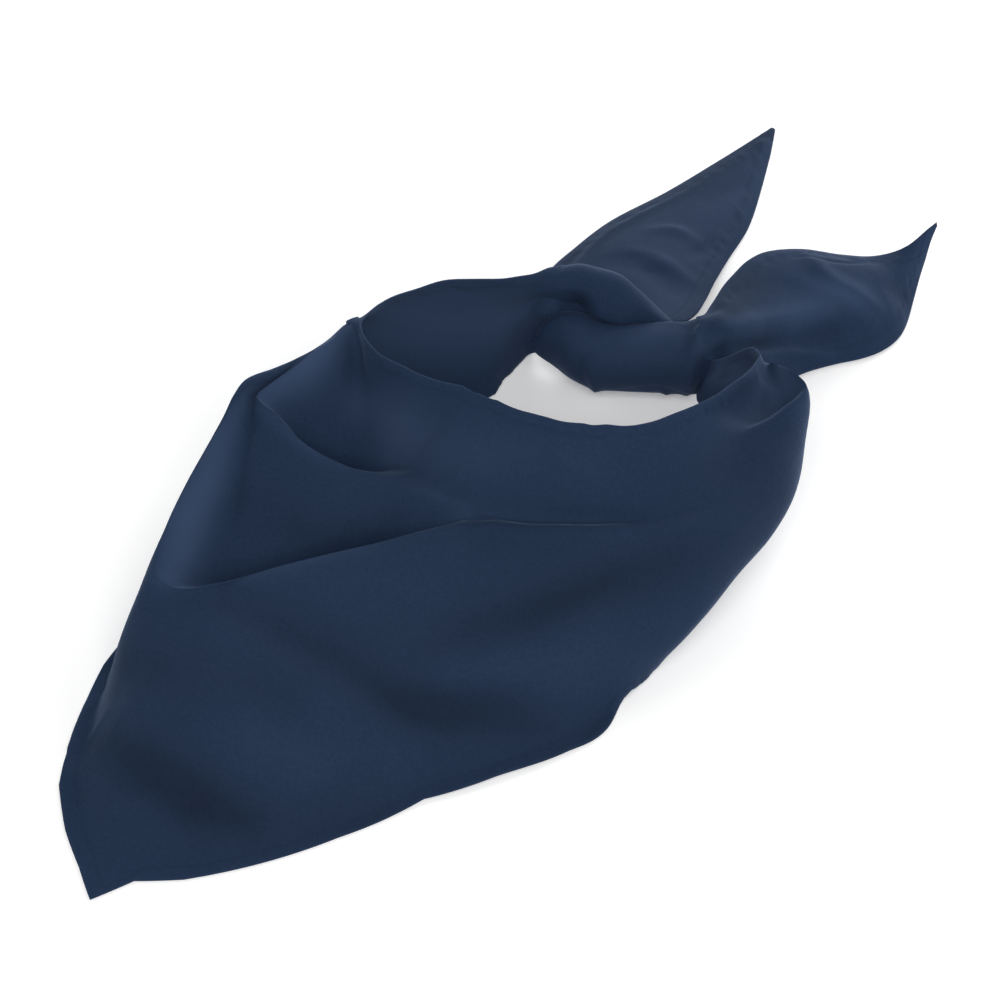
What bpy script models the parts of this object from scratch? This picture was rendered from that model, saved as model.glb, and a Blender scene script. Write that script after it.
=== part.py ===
"""A plain navy cotton neckerchief, tied in a loop and set down on a table.

One right-angled triangle of cloth: its long edge runs round the neck opening and out along both
tails, and its right-angled corner points to the front, along -Y. The cloth is modelled as walls,
split where one stretch meets the next: the front drape with its two hanging folds, the band round
the left of the neck, the short band on the right, the two wraps of the knot and the two tails.

Tables are in centimetres and degrees, about the middle of the neck opening. A heading is the
direction, seen from above, in which a section through the cloth is taken: 0 is the wearer's left,
-90 the front.
"""

import math

import bmesh
import bpy
from mathutils import Matrix, Vector

CM = 0.01
CLOTH = 0.0014          # wall of the cloth, as built
GAP = 0.0003            # between the knot and what it grips
FLOOR_SNAP = 0.0007     # undersides this close to the table lie on it
NAVY = (0.018, 0.033, 0.068)
COTTON_ROUGHNESS = 0.85

# The middle of the footprint, from the middle of the neck opening, in cm.
FOOTPRINT_MIDDLE = (1.36, -2.35)

SECTION_STEP = 4.0      # degrees between the sections of the cloth, at most
SPAN_STEPS = 3          # points between two named places of a section
LEFT_END = -219.5       # headings where the stretches of the cloth start and end
LEFT_SHOULDER = -152.0
RIGHT_SHOULDER = 24.0
RIGHT_END = 66.0
SEAM_LAP = 1.0          # degrees that a stretch is built past its end, before it is cut there
SEAM_BLOCK = (0.11, 0.02, 0.14)         # of the block that cuts it: outward, along the neck, up
SEAM_BLOCK_START = (0.05, -0.02)        # outward from the middle of the neck opening, and up
SHARP_ANGLE = 60.0      # degrees between faces, past which an edge is left sharp

# One row for each section round the neck. "out" is the distance from the middle of the neck
# opening and "up" the height: the neck edge, the well behind the upper fold, the back of that
# fold, its crest, the pocket between the folds, the rim of the lower fold, the side of the
# panel, and where the cloth meets the table and ends.
SECTION_PLACES = ("neck", "well", "back", "crest", "pocket", "rim", "side", "foot", "hem")
SECTION_COLUMNS = (
    "heading",
    "neck_out", "neck_up", "well_out", "well_up", "back_out", "back_up",
    "crest_out", "crest_up", "pocket_out", "pocket_up", "rim_out", "rim_up",
    "side_out", "side_up", "foot_out", "foot_up", "hem_out",
)
SECTIONS = (
    # The band round the left of the neck, from the knot to the left shoulder.
    (-222, 8.2, 6.5, 8.0, 5.9, 8.1, 5.3, 8.4, 4.6, 8.8, 3.9, 8.8, 3.0, 8.8, 1.5, 8.8, 0.14, 9.5),
    (-215, 8.0, 6.7, 7.9, 6.0, 8.0, 5.3, 8.2, 4.6, 8.5, 3.8, 8.5, 2.9, 8.3, 1.5, 8.0, 0.14, 8.7),
    (-208, 7.8, 7.0, 7.9, 6.2, 8.0, 5.4, 8.1, 4.6, 8.2, 3.8, 8.1, 2.9, 7.8, 1.5, 7.25, 0.14, 7.9),
    (-197, 8.2, 7.3, 8.3, 6.5, 8.3, 5.7, 8.3, 4.9, 8.2, 4.0, 8.0, 3.0, 7.3, 1.6, 6.2, 0.14, 6.9),
    (-186, 8.8, 7.7, 8.9, 6.9, 8.9, 6.1, 8.9, 5.2, 8.7, 4.2, 8.3, 3.1, 7.4, 1.6, 6.1, 0.14, 6.8),
    (-176, 9.3, 7.9, 9.5, 7.2, 9.6, 6.5, 9.6, 5.6, 9.5, 4.6, 9.0, 3.4, 7.8, 1.7, 6.3, 0.14, 7.0),
    (-166, 10.0, 8.2, 10.2, 7.7, 10.3, 7.2, 10.4, 6.6, 10.5, 5.8, 10.1, 4.3, 8.8, 2.0, 6.9, 0.14, 7.6),
    (-158, 10.4, 8.4, 10.6, 8.1, 10.8, 7.9, 11.0, 7.7, 11.1, 7.2, 11.0, 5.9, 9.5, 2.6, 7.6, 0.14, 8.3),
    # The left shoulder, where the two folds of the drape start.
    (-152, 10.6, 8.6, 10.75, 8.3, 10.95, 8.3, 11.2, 8.4, 11.45, 8.2, 11.6, 7.4, 10.2, 3.6, 8.2, 0.14, 8.9),
    (-146, 10.3, 8.8, 10.5, 8.0, 11.0, 8.0, 11.7, 8.4, 12.1, 8.3, 12.5, 7.7, 11.1, 4.0, 9.2, 0.14, 9.9),
    (-141, 9.9, 9.0, 10.4, 7.4, 11.4, 7.7, 12.6, 8.45, 13.0, 8.35, 13.4, 8.0, 12.2, 4.4, 10.1, 0.14, 10.8),
    (-135, 9.2, 9.0, 10.4, 6.6, 12.0, 7.0, 13.8, 8.5, 14.1, 8.35, 14.7, 8.6, 13.7, 4.5, 11.5, 0.14, 12.2),
    (-131, 8.5, 9.0, 10.5, 6.0, 12.7, 6.4, 15.0, 8.5, 15.4, 8.35, 16.2, 9.0, 15.3, 4.6, 12.7, 0.14, 13.4),
    (-128.4, 8.1, 9.0, 10.6, 5.5, 13.2, 5.9, 15.7, 8.5, 16.0, 8.25, 16.8, 8.95, 16.0, 4.6, 13.6, 0.14, 14.3),
    (-125, 7.7, 9.0, 10.8, 4.9, 13.3, 5.2, 14.9, 7.9, 16.2, 7.0, 17.5, 8.75, 17.0, 4.6, 15.0, 0.14, 15.7),
    (-121, 7.2, 9.0, 10.9, 4.4, 12.9, 4.8, 14.1, 7.0, 16.9, 5.7, 18.5, 8.5, 18.4, 4.5, 17.2, 0.14, 17.9),
    (-116, 6.6, 9.0, 10.5, 4.5, 12.1, 4.9, 13.1, 6.45, 18.0, 4.0, 20.2, 8.1, 20.7, 4.4, 20.4, 0.14, 21.2),
    (-112, 6.1, 9.0, 10.1, 4.8, 11.4, 5.2, 12.3, 6.2, 19.2, 2.9, 21.8, 7.5, 22.9, 4.2, 23.9, 0.14, 24.7),
    (-109, 5.8, 9.0, 9.7, 5.15, 10.9, 5.5, 11.8, 6.15, 20.0, 2.3, 23.2, 6.8, 24.6, 3.9, 25.9, 0.14, 26.8),
    (-107.5, 5.75, 9.0, 9.5, 5.3, 10.7, 5.65, 11.6, 6.15, 19.9, 2.2, 23.7, 6.1, 25.4, 3.6, 26.7, 0.14, 27.6),
    # The front, down to the corner of the cloth.
    (-106, 5.7, 9.0, 9.4, 5.45, 10.6, 5.75, 11.4, 6.1, 19.4, 2.2, 23.4, 5.55, 26.1, 3.3, 27.5, 0.14, 28.4),
    (-103, 5.6, 9.0, 9.1, 5.75, 10.3, 5.9, 11.1, 6.05, 18.0, 2.5, 22.0, 5.6, 26.6, 3.4, 29.1, 0.14, 30.1),
    (-99, 5.4, 9.0, 8.8, 6.0, 9.9, 5.95, 10.7, 6.0, 15.6, 2.9, 18.5, 5.8, 26.1, 3.9, 31.3, 0.14, 32.2),
    (-95, 5.3, 9.0, 8.5, 6.15, 9.6, 6.0, 10.4, 5.95, 13.6, 3.3, 15.9, 5.8, 25.5, 4.0, 32.6, 0.14, 33.5),
    (-91.5, 5.2, 9.0, 8.3, 6.25, 9.3, 6.0, 10.1, 5.9, 12.4, 3.8, 14.3, 5.8, 24.5, 4.0, 33.4, 0.14, 34.4),
    (-88.7, 5.1, 9.0, 8.2, 6.3, 9.1, 6.0, 9.9, 5.85, 11.6, 4.25, 13.2, 5.8, 23.5, 4.0, 33.8, 0.14, 35.3),
    (-87.2, 5.1, 9.0, 8.1, 6.3, 9.0, 5.95, 9.75, 5.85, 11.2, 4.45, 12.6, 5.75, 23.0, 3.95, 32.4, 0.14, 33.3),
    (-84, 5.1, 9.0, 8.0, 6.3, 8.8, 5.95, 9.5, 5.8, 10.6, 4.85, 11.7, 5.75, 22.0, 3.9, 31.0, 0.14, 31.9),
    (-80, 5.1, 9.0, 7.8, 6.3, 8.6, 5.9, 9.2, 5.75, 10.0, 5.3, 10.9, 5.75, 20.3, 3.9, 28.8, 0.14, 29.7),
    (-74, 5.1, 9.0, 7.5, 6.4, 8.3, 5.8, 8.9, 5.5, 9.5, 5.35, 10.4, 5.6, 18.0, 3.9, 25.5, 0.14, 26.4),
    (-67, 5.1, 9.0, 7.2, 6.5, 8.1, 5.7, 8.7, 5.3, 9.3, 5.35, 10.3, 5.45, 16.0, 4.0, 22.1, 0.14, 23.0),
    (-59, 5.2, 9.0, 7.1, 6.5, 7.9, 5.7, 8.6, 5.2, 9.2, 5.3, 10.5, 5.25, 15.4, 3.6, 20.1, 0.14, 21.0),
    (-50, 5.45, 9.0, 7.1, 6.6, 7.9, 5.7, 8.5, 5.15, 9.2, 5.3, 11.0, 5.05, 15.2, 3.4, 18.5, 0.14, 19.3),
    (-43, 5.6, 9.0, 7.2, 6.6, 8.0, 5.8, 8.6, 5.2, 9.3, 5.3, 11.5, 4.9, 15.2, 2.9, 17.1, 0.14, 17.9),
    # The right side, which rounds away and tucks under.
    (-39, 5.7, 9.0, 7.3, 6.7, 8.1, 5.8, 8.7, 5.25, 9.5, 5.35, 11.8, 4.85, 15.2, 2.3, 16.4, 0.60, 16.2),
    (-35, 5.8, 8.9, 7.4, 6.7, 8.2, 5.9, 8.9, 5.35, 9.7, 5.4, 12.0, 4.8, 15.1, 2.0, 15.5, 0.14, 14.8),
    (-28, 6.0, 8.9, 7.6, 6.8, 8.5, 6.0, 9.2, 5.5, 10.0, 5.4, 12.3, 4.7, 14.8, 2.0, 14.2, 0.14, 13.3),
    (-20, 6.3, 8.7, 7.9, 6.9, 8.8, 6.2, 9.6, 5.8, 10.5, 5.6, 12.5, 4.9, 14.2, 2.3, 12.6, 0.14, 11.7),
    (-8, 6.7, 8.5, 8.2, 7.1, 9.2, 6.5, 10.1, 6.15, 11.0, 5.9, 12.7, 4.9, 13.4, 2.6, 11.3, 0.14, 10.4),
    (5, 7.15, 8.3, 8.4, 7.2, 9.4, 6.7, 10.3, 6.5, 11.3, 6.3, 12.9, 5.0, 13.3, 3.0, 10.8, 0.14, 9.8),
    (16, 7.75, 8.0, 8.8, 7.1, 9.7, 6.8, 10.6, 6.95, 11.7, 6.9, 12.95, 5.4, 13.2, 3.2, 10.6, 0.14, 9.7),
    (24, 8.4, 7.8, 9.4, 6.8, 10.6, 6.9, 11.8, 7.55, 12.6, 6.9, 13.1, 5.1, 12.9, 2.8, 10.8, 0.14, 9.9),
    (31, 8.95, 7.5, 10.0, 6.6, 11.4, 6.9, 12.7, 7.9, 13.05, 6.9, 13.0, 5.0, 12.6, 2.6, 11.0, 0.14, 10.1),
    (38, 9.7, 7.2, 10.4, 6.9, 11.1, 7.2, 11.8, 7.8, 12.3, 6.9, 12.5, 5.0, 12.3, 2.6, 11.4, 0.14, 10.6),
    # The short band on the right, gathered in to the knot.
    (44, 10.3, 6.9, 10.6, 6.8, 10.9, 6.9, 11.2, 7.1, 11.5, 6.3, 11.7, 4.6, 11.7, 2.3, 11.6, 0.14, 10.9),
    (50, 10.5, 6.6, 10.75, 6.5, 11.0, 6.45, 11.2, 6.3, 11.5, 5.4, 11.6, 4.0, 11.7, 2.0, 11.7, 0.14, 11.0),
    (56, 10.2, 6.05, 10.35, 6.0, 10.6, 5.85, 10.9, 5.5, 11.2, 4.6, 11.35, 3.3, 11.3, 1.7, 11.2, 0.14, 10.6),
    (61, 9.4, 4.5, 9.7, 4.6, 10.1, 4.55, 10.5, 4.3, 10.9, 3.6, 11.1, 2.7, 11.0, 1.6, 10.9, 0.14, 10.3),
    (66, 9.8, 3.1, 10.0, 3.3, 10.3, 3.3, 10.6, 3.1, 10.8, 2.7, 10.9, 2.2, 10.8, 1.5, 10.7, 0.14, 10.2),
)

# The two wraps of the knot: a row for each ring along them, its middle, its radius and how
# much lower than wide it is.
RING_COLUMNS = ("x", "y", "up", "radius", "flatness")
KNOT_WRAP = (
    (-6.9, 5.2, 3.1, 0.4, 4.0),
    (-6.2, 5.45, 2.75, 1.0, 1.9),
    (-4.5, 5.8, 2.3, 1.6, 1.3),
    (-2.3, 6.45, 2.05, 1.95, 1.05),
    (-0.5, 7.7, 1.9, 1.9, 1.0),
    (1.3, 9.2, 2.0, 2.0, 1.0),
    (2.9, 9.9, 2.15, 2.0, 1.05),
    (4.2, 9.9, 2.3, 1.6, 1.1),
)
KNOT_CROSSING = (
    (-6.8, 5.0, 5.2, 0.4, 2.4),
    (-6.1, 5.6, 5.1, 0.8, 1.55),
    (-4.8, 6.7, 4.95, 1.2, 1.2),
    (-3.4, 7.8, 4.7, 1.4, 1.05),
    (-1.9, 8.5, 4.5, 1.35, 1.0),
    (-0.8, 9.2, 3.9, 1.2, 1.0),
    (-0.7, 10.3, 2.9, 1.1, 1.0),
    (-1.5, 11.2, 2.0, 0.9, 1.0),
)
RING_POINTS = 20        # round a wrap
RING_STEPS = 3          # between two rings of its table
END_ROUNDNESS = 0.5     # how far a wrap's end stands out, as a share of its last radius

# The tails: a row for each line across, from the knot to the tip, with both ends of the line
# and how far its middle is raised.
TAIL_COLUMNS = ("left_x", "left_y", "left_up", "right_x", "right_y", "right_up", "crown")
TAIL_BACK = (
    (-3.4, 9.4, 2.5, -0.6, 10.2, 2.6, 0.3),
    (-6.0, 9.0, 1.8, -0.1, 11.2, 2.4, 0.5),
    (-8.6, 9.6, 0.8, -0.2, 12.6, 1.9, 0.9),
    (-9.9, 11.5, 0.3, -0.9, 14.6, 1.2, 1.2),
    (-10.1, 14.2, 0.2, -1.6, 16.4, 0.8, 1.3),
    (-10.0, 17.0, 0.2, -2.4, 18.8, 0.35, 1.1),
    (-9.0, 21.6, 0.2, -3.3, 22.2, 0.2, 0.7),
    (-8.4, 25.4, 0.2, -4.8, 25.6, 0.2, 0.4),
    (-7.9, 29.0, 0.2, -6.5, 29.0, 0.2, 0.1),
    (-7.7, 30.6, 0.2, -7.4, 30.6, 0.2, 0.0),
)
TAIL_SIDE = (
    (1.2, 10.4, 3.7, 3.9, 10.3, 2.2, 0.4),
    (0.7, 12.6, 3.7, 5.0, 12.4, 1.4, 0.7),
    (0.2, 15.2, 3.4, 6.4, 14.6, 0.4, 1.1),
    (0.2, 17.7, 3.2, 7.8, 16.6, 0.2, 1.5),
    (1.6, 20.0, 2.9, 8.6, 18.4, 0.2, 1.7),
    (3.6, 21.7, 2.3, 8.8, 20.2, 0.2, 1.4),
    (5.0, 23.4, 2.0, 8.1, 22.4, 0.2, 0.8),
    (6.2, 25.0, 2.5, 7.2, 24.8, 0.9, 0.3),
    (6.7, 26.2, 3.4, 6.9, 26.1, 3.1, 0.0),
)
TAIL_POINTS = 8         # across a tail
TAIL_STEPS = 2          # between two rows of a tail


def clear_scene():
    for obj in list(bpy.data.objects):
        bpy.data.objects.remove(obj, do_unlink=True)


def collection(name):
    found = bpy.data.collections.new(name)
    bpy.context.scene.collection.children.link(found)
    return found


def navy_cloth(name):
    """The plain navy cotton, as this piece's own material."""
    material = bpy.data.materials.new(name + " cotton")
    material.use_nodes = True
    shader = material.node_tree.nodes["Principled BSDF"]
    shader.inputs["Base Color"].default_value = (*NAVY, 1.0)
    shader.inputs["Roughness"].default_value = COTTON_ROUGHNESS
    shader.inputs["Metallic"].default_value = 0.0
    return material


def through(points, steps):
    """A smooth curve through the points, with this many steps between each two of them."""
    ends = [2 * points[0] - points[1], *points, 2 * points[-1] - points[-2]]
    curve = []
    for a, b, c, d in zip(ends, ends[1:], ends[2:], ends[3:]):
        knots = [0.0]
        for p, q in ((a, b), (b, c), (c, d)):
            knots.append(knots[-1] + max((q - p).length, 1e-6) ** 0.5)
        for step in range(steps):
            curve.append(catmull_rom((a, b, c, d), knots, step / steps))
    return [*curve, points[-1].copy()]


def catmull_rom(points, knots, share):
    """The point this share of the way from the second to the third of four points."""
    a, b, c, d = points
    t0, t1, t2, t3 = knots
    t = t1 + share * (t2 - t1)
    ab = a.lerp(b, (t - t0) / (t1 - t0))
    bc = b.lerp(c, (t - t1) / (t2 - t1))
    cd = c.lerp(d, (t - t2) / (t3 - t2))
    abc = ab.lerp(bc, (t - t0) / (t2 - t0))
    bcd = bc.lerp(cd, (t - t1) / (t3 - t1))
    return abc.lerp(bcd, (t - t1) / (t2 - t1))


def placed(x, y, up):
    """A point given in cm about the neck opening, as a point of the finished part."""
    return Vector((x - FOOTPRINT_MIDDLE[0], y - FOOTPRINT_MIDDLE[1], up)) * CM


def named_rows(columns, table):
    """The rows of a table, each with its values by the names of their columns."""
    return [dict(zip(columns, row)) for row in table]


def section_places(row):
    """The named places of one section, as (out, up) pairs from the neck edge to the hem."""
    named = dict(zip(SECTION_COLUMNS, row))
    named["hem_up"] = CLOTH / CM
    return [(named[place + "_out"], named[place + "_up"]) for place in SECTION_PLACES]


def blended_section(heading):
    """The named places at any heading: smooth between the rows, straight along the hem."""
    headings = [row[0] for row in SECTIONS]
    last = len(SECTIONS) - 2
    at = min(max(sum(h <= heading for h in headings) - 1, 0), last)
    share = (heading - headings[at]) / (headings[at + 1] - headings[at])
    rows = [section_places(SECTIONS[min(max(i, 0), last + 1)]) for i in range(at - 1, at + 3)]
    places = []
    for index, (before, here, there, beyond) in enumerate(zip(*rows)):
        straight = index >= len(rows[0]) - 2
        pair = []
        for b, h, t, y in zip(before, here, there, beyond):
            rise = 0.0 if straight else slopes(headings, at, (b, h, t, y), share)
            pair.append(h + (t - h) * share + rise)
        places.append(tuple(pair))
    return places


def slopes(headings, at, values, share):
    """How far a smooth curve through the values bows off the straight line between two rows."""
    before, here, there, beyond = values
    span = headings[at + 1] - headings[at]
    span_before = headings[at] - headings[max(at - 1, 0)] or span
    span_beyond = headings[min(at + 2, len(headings) - 1)] - headings[at + 1] or span
    chord = there - here
    start = ((here - before) / span_before * span**2 + chord * span_before) / (span_before + span)
    end = (chord * span_beyond + (beyond - there) / span_beyond * span**2) / (span + span_beyond)
    return (share - 1) ** 2 * share * (start - chord) + (share - 1) * share**2 * (end - chord)


def section_curve(heading):
    """The points of one section of the cloth, from the neck edge to the hem."""
    angle = math.radians(heading)
    places = []
    for out, up in blended_section(heading):
        places.append(placed(out * math.cos(angle), out * math.sin(angle), up))
    return through(places, SPAN_STEPS)


def section_headings(first, last):
    """The headings of the table between two others, with even steps between them."""
    rows = [first, *(row[0] for row in SECTIONS if first < row[0] < last), last]
    headings = [first]
    for low, high in zip(rows, rows[1:]):
        count = max(1, math.ceil((high - low) / SECTION_STEP))
        headings += [low + (high - low) * (i + 1) / count for i in range(count)]
    return headings


def sheet_mesh(name, rows):
    """An open surface through rows of points."""
    mesh = bpy.data.meshes.new(name)
    shape = bmesh.new()
    lines = [[shape.verts.new(point) for point in row] for row in rows]
    for low, high in zip(lines, lines[1:]):
        for a, b, c, d in zip(low, low[1:], high[1:], high):
            shape.faces.new((a, b, c, d))
    shape.to_mesh(mesh)
    shape.free()
    return mesh


def add_object(name, mesh, group, material=None):
    obj = bpy.data.objects.new(name, mesh)
    group.objects.link(obj)
    if material:
        mesh.materials.append(material)
    return obj


def finished_mesh(obj):
    """The object's mesh with its modifiers applied, as a new mesh."""
    view = obj.evaluated_get(bpy.context.evaluated_depsgraph_get())
    return bpy.data.meshes.new_from_object(view)


def thicken(obj, thickness):
    """Gives an open surface its wall, on its under side, and keeps the result as its mesh."""
    wall = obj.modifiers.new("Wall", "SOLIDIFY")
    wall.thickness = thickness
    wall.offset = -1.0
    wall.use_even_offset = False
    obj.data = finished_mesh(obj)
    obj.modifiers.clear()


def rest_on_floor(obj):
    """Lays the underside flat on the table wherever it comes this close to it."""
    for vertex in obj.data.vertices:
        if vertex.co.z < FLOOR_SNAP:
            vertex.co.z = 0.0


def shade(obj):
    obj.data.shade_smooth()
    obj.data.set_sharp_from_angle(angle=math.radians(SHARP_ANGLE))


def cloth_wall(name, rows, group):
    """A stretch of cloth: an open surface through the rows, given its thickness downwards."""
    obj = add_object(name, sheet_mesh(name, rows), group, navy_cloth(name))
    thicken(obj, CLOTH)
    rest_on_floor(obj)
    shade(obj)
    return obj


def ring(middle, along, radius, flatness):
    """A ring of points round a wrap, square to its run."""
    across = along.cross(Vector((0, 0, 1))).normalized()
    over = across.cross(along).normalized()
    points = []
    for i in range(RING_POINTS):
        turn = 2 * math.pi * i / RING_POINTS
        points.append(middle + radius * (math.cos(turn) * across + flatness * math.sin(turn) * over))
    return points


def wrap_mesh(name, table, grown=0.0):
    """A closed wrap of the knot through its rings, with rounded ends."""
    rows = named_rows(RING_COLUMNS, table)
    middles = through([placed(row["x"], row["y"], row["up"]) for row in rows], RING_STEPS)
    sizes = through([Vector((row["radius"] * CM, row["flatness"], 0)) for row in rows], RING_STEPS)
    shape = bmesh.new()
    rings = []
    last = len(middles) - 1
    for i, (middle, size) in enumerate(zip(middles, sizes)):
        along = (middles[min(i + 1, last)] - middles[max(i - 1, 0)]).normalized()
        points = ring(middle, along, size.x + grown, size.y)
        rings.append([shape.verts.new(point) for point in points])
    for low, high in zip(rings, rings[1:]):
        for i in range(RING_POINTS):
            j = (i + 1) % RING_POINTS
            shape.faces.new((low[i], low[j], high[j], high[i]))
    for end, other, verts in ((0, 1, rings[0]), (last, last - 1, rings[-1])):
        along = (middles[end] - middles[other]).normalized()
        tip = shape.verts.new(middles[end] + along * (sizes[end].x * END_ROUNDNESS + grown))
        for i in range(RING_POINTS):
            shape.faces.new((verts[i], verts[(i + 1) % RING_POINTS], tip))
    bmesh.ops.recalc_face_normals(shape, faces=shape.faces)
    mesh = bpy.data.meshes.new(name)
    shape.to_mesh(mesh)
    shape.free()
    return mesh


def cutter(name, mesh, group):
    obj = add_object(name, mesh, group)
    obj.hide_render = True
    obj.display_type = "WIRE"
    return obj


def cut(obj, tool):
    """Cuts an object back to a clear gap from its neighbour."""
    difference = obj.modifiers.new("Cut " + tool.name, "BOOLEAN")
    difference.operation = "DIFFERENCE"
    difference.object = tool


def tail_rows(table):
    """Lines across a tail, each bowed up in its middle."""
    named = named_rows(TAIL_COLUMNS, table)
    left = through([placed(row["left_x"], row["left_y"], row["left_up"]) for row in named], TAIL_STEPS)
    right = through([placed(row["right_x"], row["right_y"], row["right_up"]) for row in named], TAIL_STEPS)
    crowns = through([Vector((row["crown"] * CM, 0, 0)) for row in named], TAIL_STEPS)
    rows = []
    for a, b, crown in zip(left, right, crowns):
        line = []
        for i in range(TAIL_POINTS + 1):
            share = i / TAIL_POINTS
            rise = crown.x * math.sin(math.pi * share)
            line.append(a.lerp(b, share) + Vector((0, 0, rise)))
        rows.append(line)
    return rows


def drape_stretch(name, first, last, group):
    """The cloth between two headings, from the neck edge to the hem."""
    rows = [section_curve(heading) for heading in section_headings(first, last)]
    return cloth_wall(name, rows, group)


def seam_block(name, heading, side, group):
    """A block on one side of the seam at a heading, reaching half a gap past it."""
    out, along, up = SEAM_BLOCK
    start_out, start_up = SEAM_BLOCK_START
    middle = Vector((start_out + out / 2, side * (along - GAP) / 2, start_up + up / 2))
    shape = bmesh.new()
    bmesh.ops.create_cube(shape, size=1.0)
    bmesh.ops.scale(shape, vec=SEAM_BLOCK, verts=shape.verts)
    bmesh.ops.translate(shape, vec=middle, verts=shape.verts)
    turn = Matrix.Rotation(math.radians(heading), 4, "Z")
    bmesh.ops.transform(shape, matrix=Matrix.Translation(placed(0, 0, 0)) @ turn, verts=shape.verts)
    mesh = bpy.data.meshes.new(name)
    shape.to_mesh(mesh)
    shape.free()
    return cutter(name, mesh, group)


def drape(part, tools):
    """The cloth round the neck, in three stretches that meet at the shoulders."""
    left_band = drape_stretch("left_band", LEFT_END, LEFT_SHOULDER + SEAM_LAP, part)
    front = drape_stretch("front_drape", LEFT_SHOULDER - SEAM_LAP, RIGHT_SHOULDER + SEAM_LAP, part)
    right_band = drape_stretch("right_band", RIGHT_SHOULDER - SEAM_LAP, RIGHT_END, part)
    cut(left_band, seam_block("past the left shoulder", LEFT_SHOULDER, 1, tools))
    cut(front, seam_block("before the left shoulder", LEFT_SHOULDER, -1, tools))
    cut(front, seam_block("past the right shoulder", RIGHT_SHOULDER, 1, tools))
    cut(right_band, seam_block("before the right shoulder", RIGHT_SHOULDER, -1, tools))
    return left_band, right_band


def knot_piece(name, table, group):
    """One wrap of the knot, lying flat where it meets the table."""
    obj = add_object(name, wrap_mesh(name, table), group, navy_cloth(name))
    rest_on_floor(obj)
    shade(obj)
    return obj


def main():
    clear_scene()
    part = collection("bandana")
    tools = collection("cutters")

    left_band, right_band = drape(part, tools)
    knot_piece("knot_crossing", KNOT_CROSSING, part)
    knot_wrap = knot_piece("knot_wrap", KNOT_WRAP, part)
    tail_back = cloth_wall("tail_back", tail_rows(TAIL_BACK), part)
    tail_side = cloth_wall("tail_side", tail_rows(TAIL_SIDE), part)

    room_for_crossing = cutter("room for the crossing", wrap_mesh("crossing room", KNOT_CROSSING, GAP), tools)
    room_for_wrap = cutter("room for the wrap", wrap_mesh("wrap room", KNOT_WRAP, GAP), tools)
    for obj in (knot_wrap, left_band, tail_back):
        cut(obj, room_for_crossing)
    for obj in (left_band, right_band, tail_back, tail_side):
        cut(obj, room_for_wrap)


main()
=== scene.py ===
"""The looks of a plain navy neckerchief, tied in a loop and set down on a table.

One right-angled triangle of cotton: its long edge runs round the neck opening and out along both
tails. The cloth is modelled as thin sheets with turned hems, folds and puckers, and its stitches
lie along the hems. Tables are in centimetres and degrees about the middle of the neck opening. A
heading is the direction, seen from above, in which a section through the cloth is taken: 0 is the
wearer's left, -90 the front.
"""

import math
import bpy
import numpy as np
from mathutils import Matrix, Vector, noise


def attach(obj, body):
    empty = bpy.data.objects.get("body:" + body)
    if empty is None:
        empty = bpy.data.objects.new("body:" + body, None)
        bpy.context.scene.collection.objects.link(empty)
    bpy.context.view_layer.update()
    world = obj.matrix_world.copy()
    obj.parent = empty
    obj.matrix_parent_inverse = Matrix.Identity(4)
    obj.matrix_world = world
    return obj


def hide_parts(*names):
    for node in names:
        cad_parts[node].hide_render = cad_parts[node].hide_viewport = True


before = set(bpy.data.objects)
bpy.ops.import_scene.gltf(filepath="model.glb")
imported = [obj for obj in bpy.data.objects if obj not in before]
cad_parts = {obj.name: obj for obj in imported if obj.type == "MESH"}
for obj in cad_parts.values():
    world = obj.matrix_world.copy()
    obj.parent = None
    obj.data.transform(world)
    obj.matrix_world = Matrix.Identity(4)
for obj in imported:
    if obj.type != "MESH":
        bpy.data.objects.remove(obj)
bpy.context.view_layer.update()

CM = 0.01
MM = 0.001

# The middle of the footprint, from the middle of the neck opening, in cm.
FOOTPRINT_MIDDLE = (1.36, -2.35)

# Cloth and hems, in mm.
CLOTH = 0.5
HEM_THICK = 1.3
NECK_HEM = 7.0          # width of the hem along the long edge of the triangle
SIDE_HEM = 10.0         # width of the hems along its two short edges
STITCH_IN = 1.0         # from the stitches to the inner edge of the hem
STITCH_LENGTH = 2.2
STITCH_PITCH = 3.0
STITCH_RADIUS = 0.15
STITCH_SIDES = 6
# Rings of a stitch: along its length, size and lift.
STITCH_RINGS = ((-0.5, 0.4, -0.5), (-0.36, 1.0, 0.1), (0.36, 1.0, 0.1), (0.5, 0.4, -0.5))
PAST_HEM = 0.4          # how far the cloth past a hem lies under the hem's face
GROOVE = 0.4            # how deep the line of stitches lies
ROUNDING = 0.35         # how far the edges round down
PUCKER = 0.42           # how high the cloth draws up along its stitches
PUCKER_LENGTH = 5.2     # from one pucker to the next
PUCKER_SLANT = 4.0      # how far a pucker leans over the width of its hem
PUCKER_CHANGE = 50.0    # over what length they grow and fade
LEAST_HEIGHT = 0.6      # of the cloth's upper face over the table

# ---- The cloth round the neck ----

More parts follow.
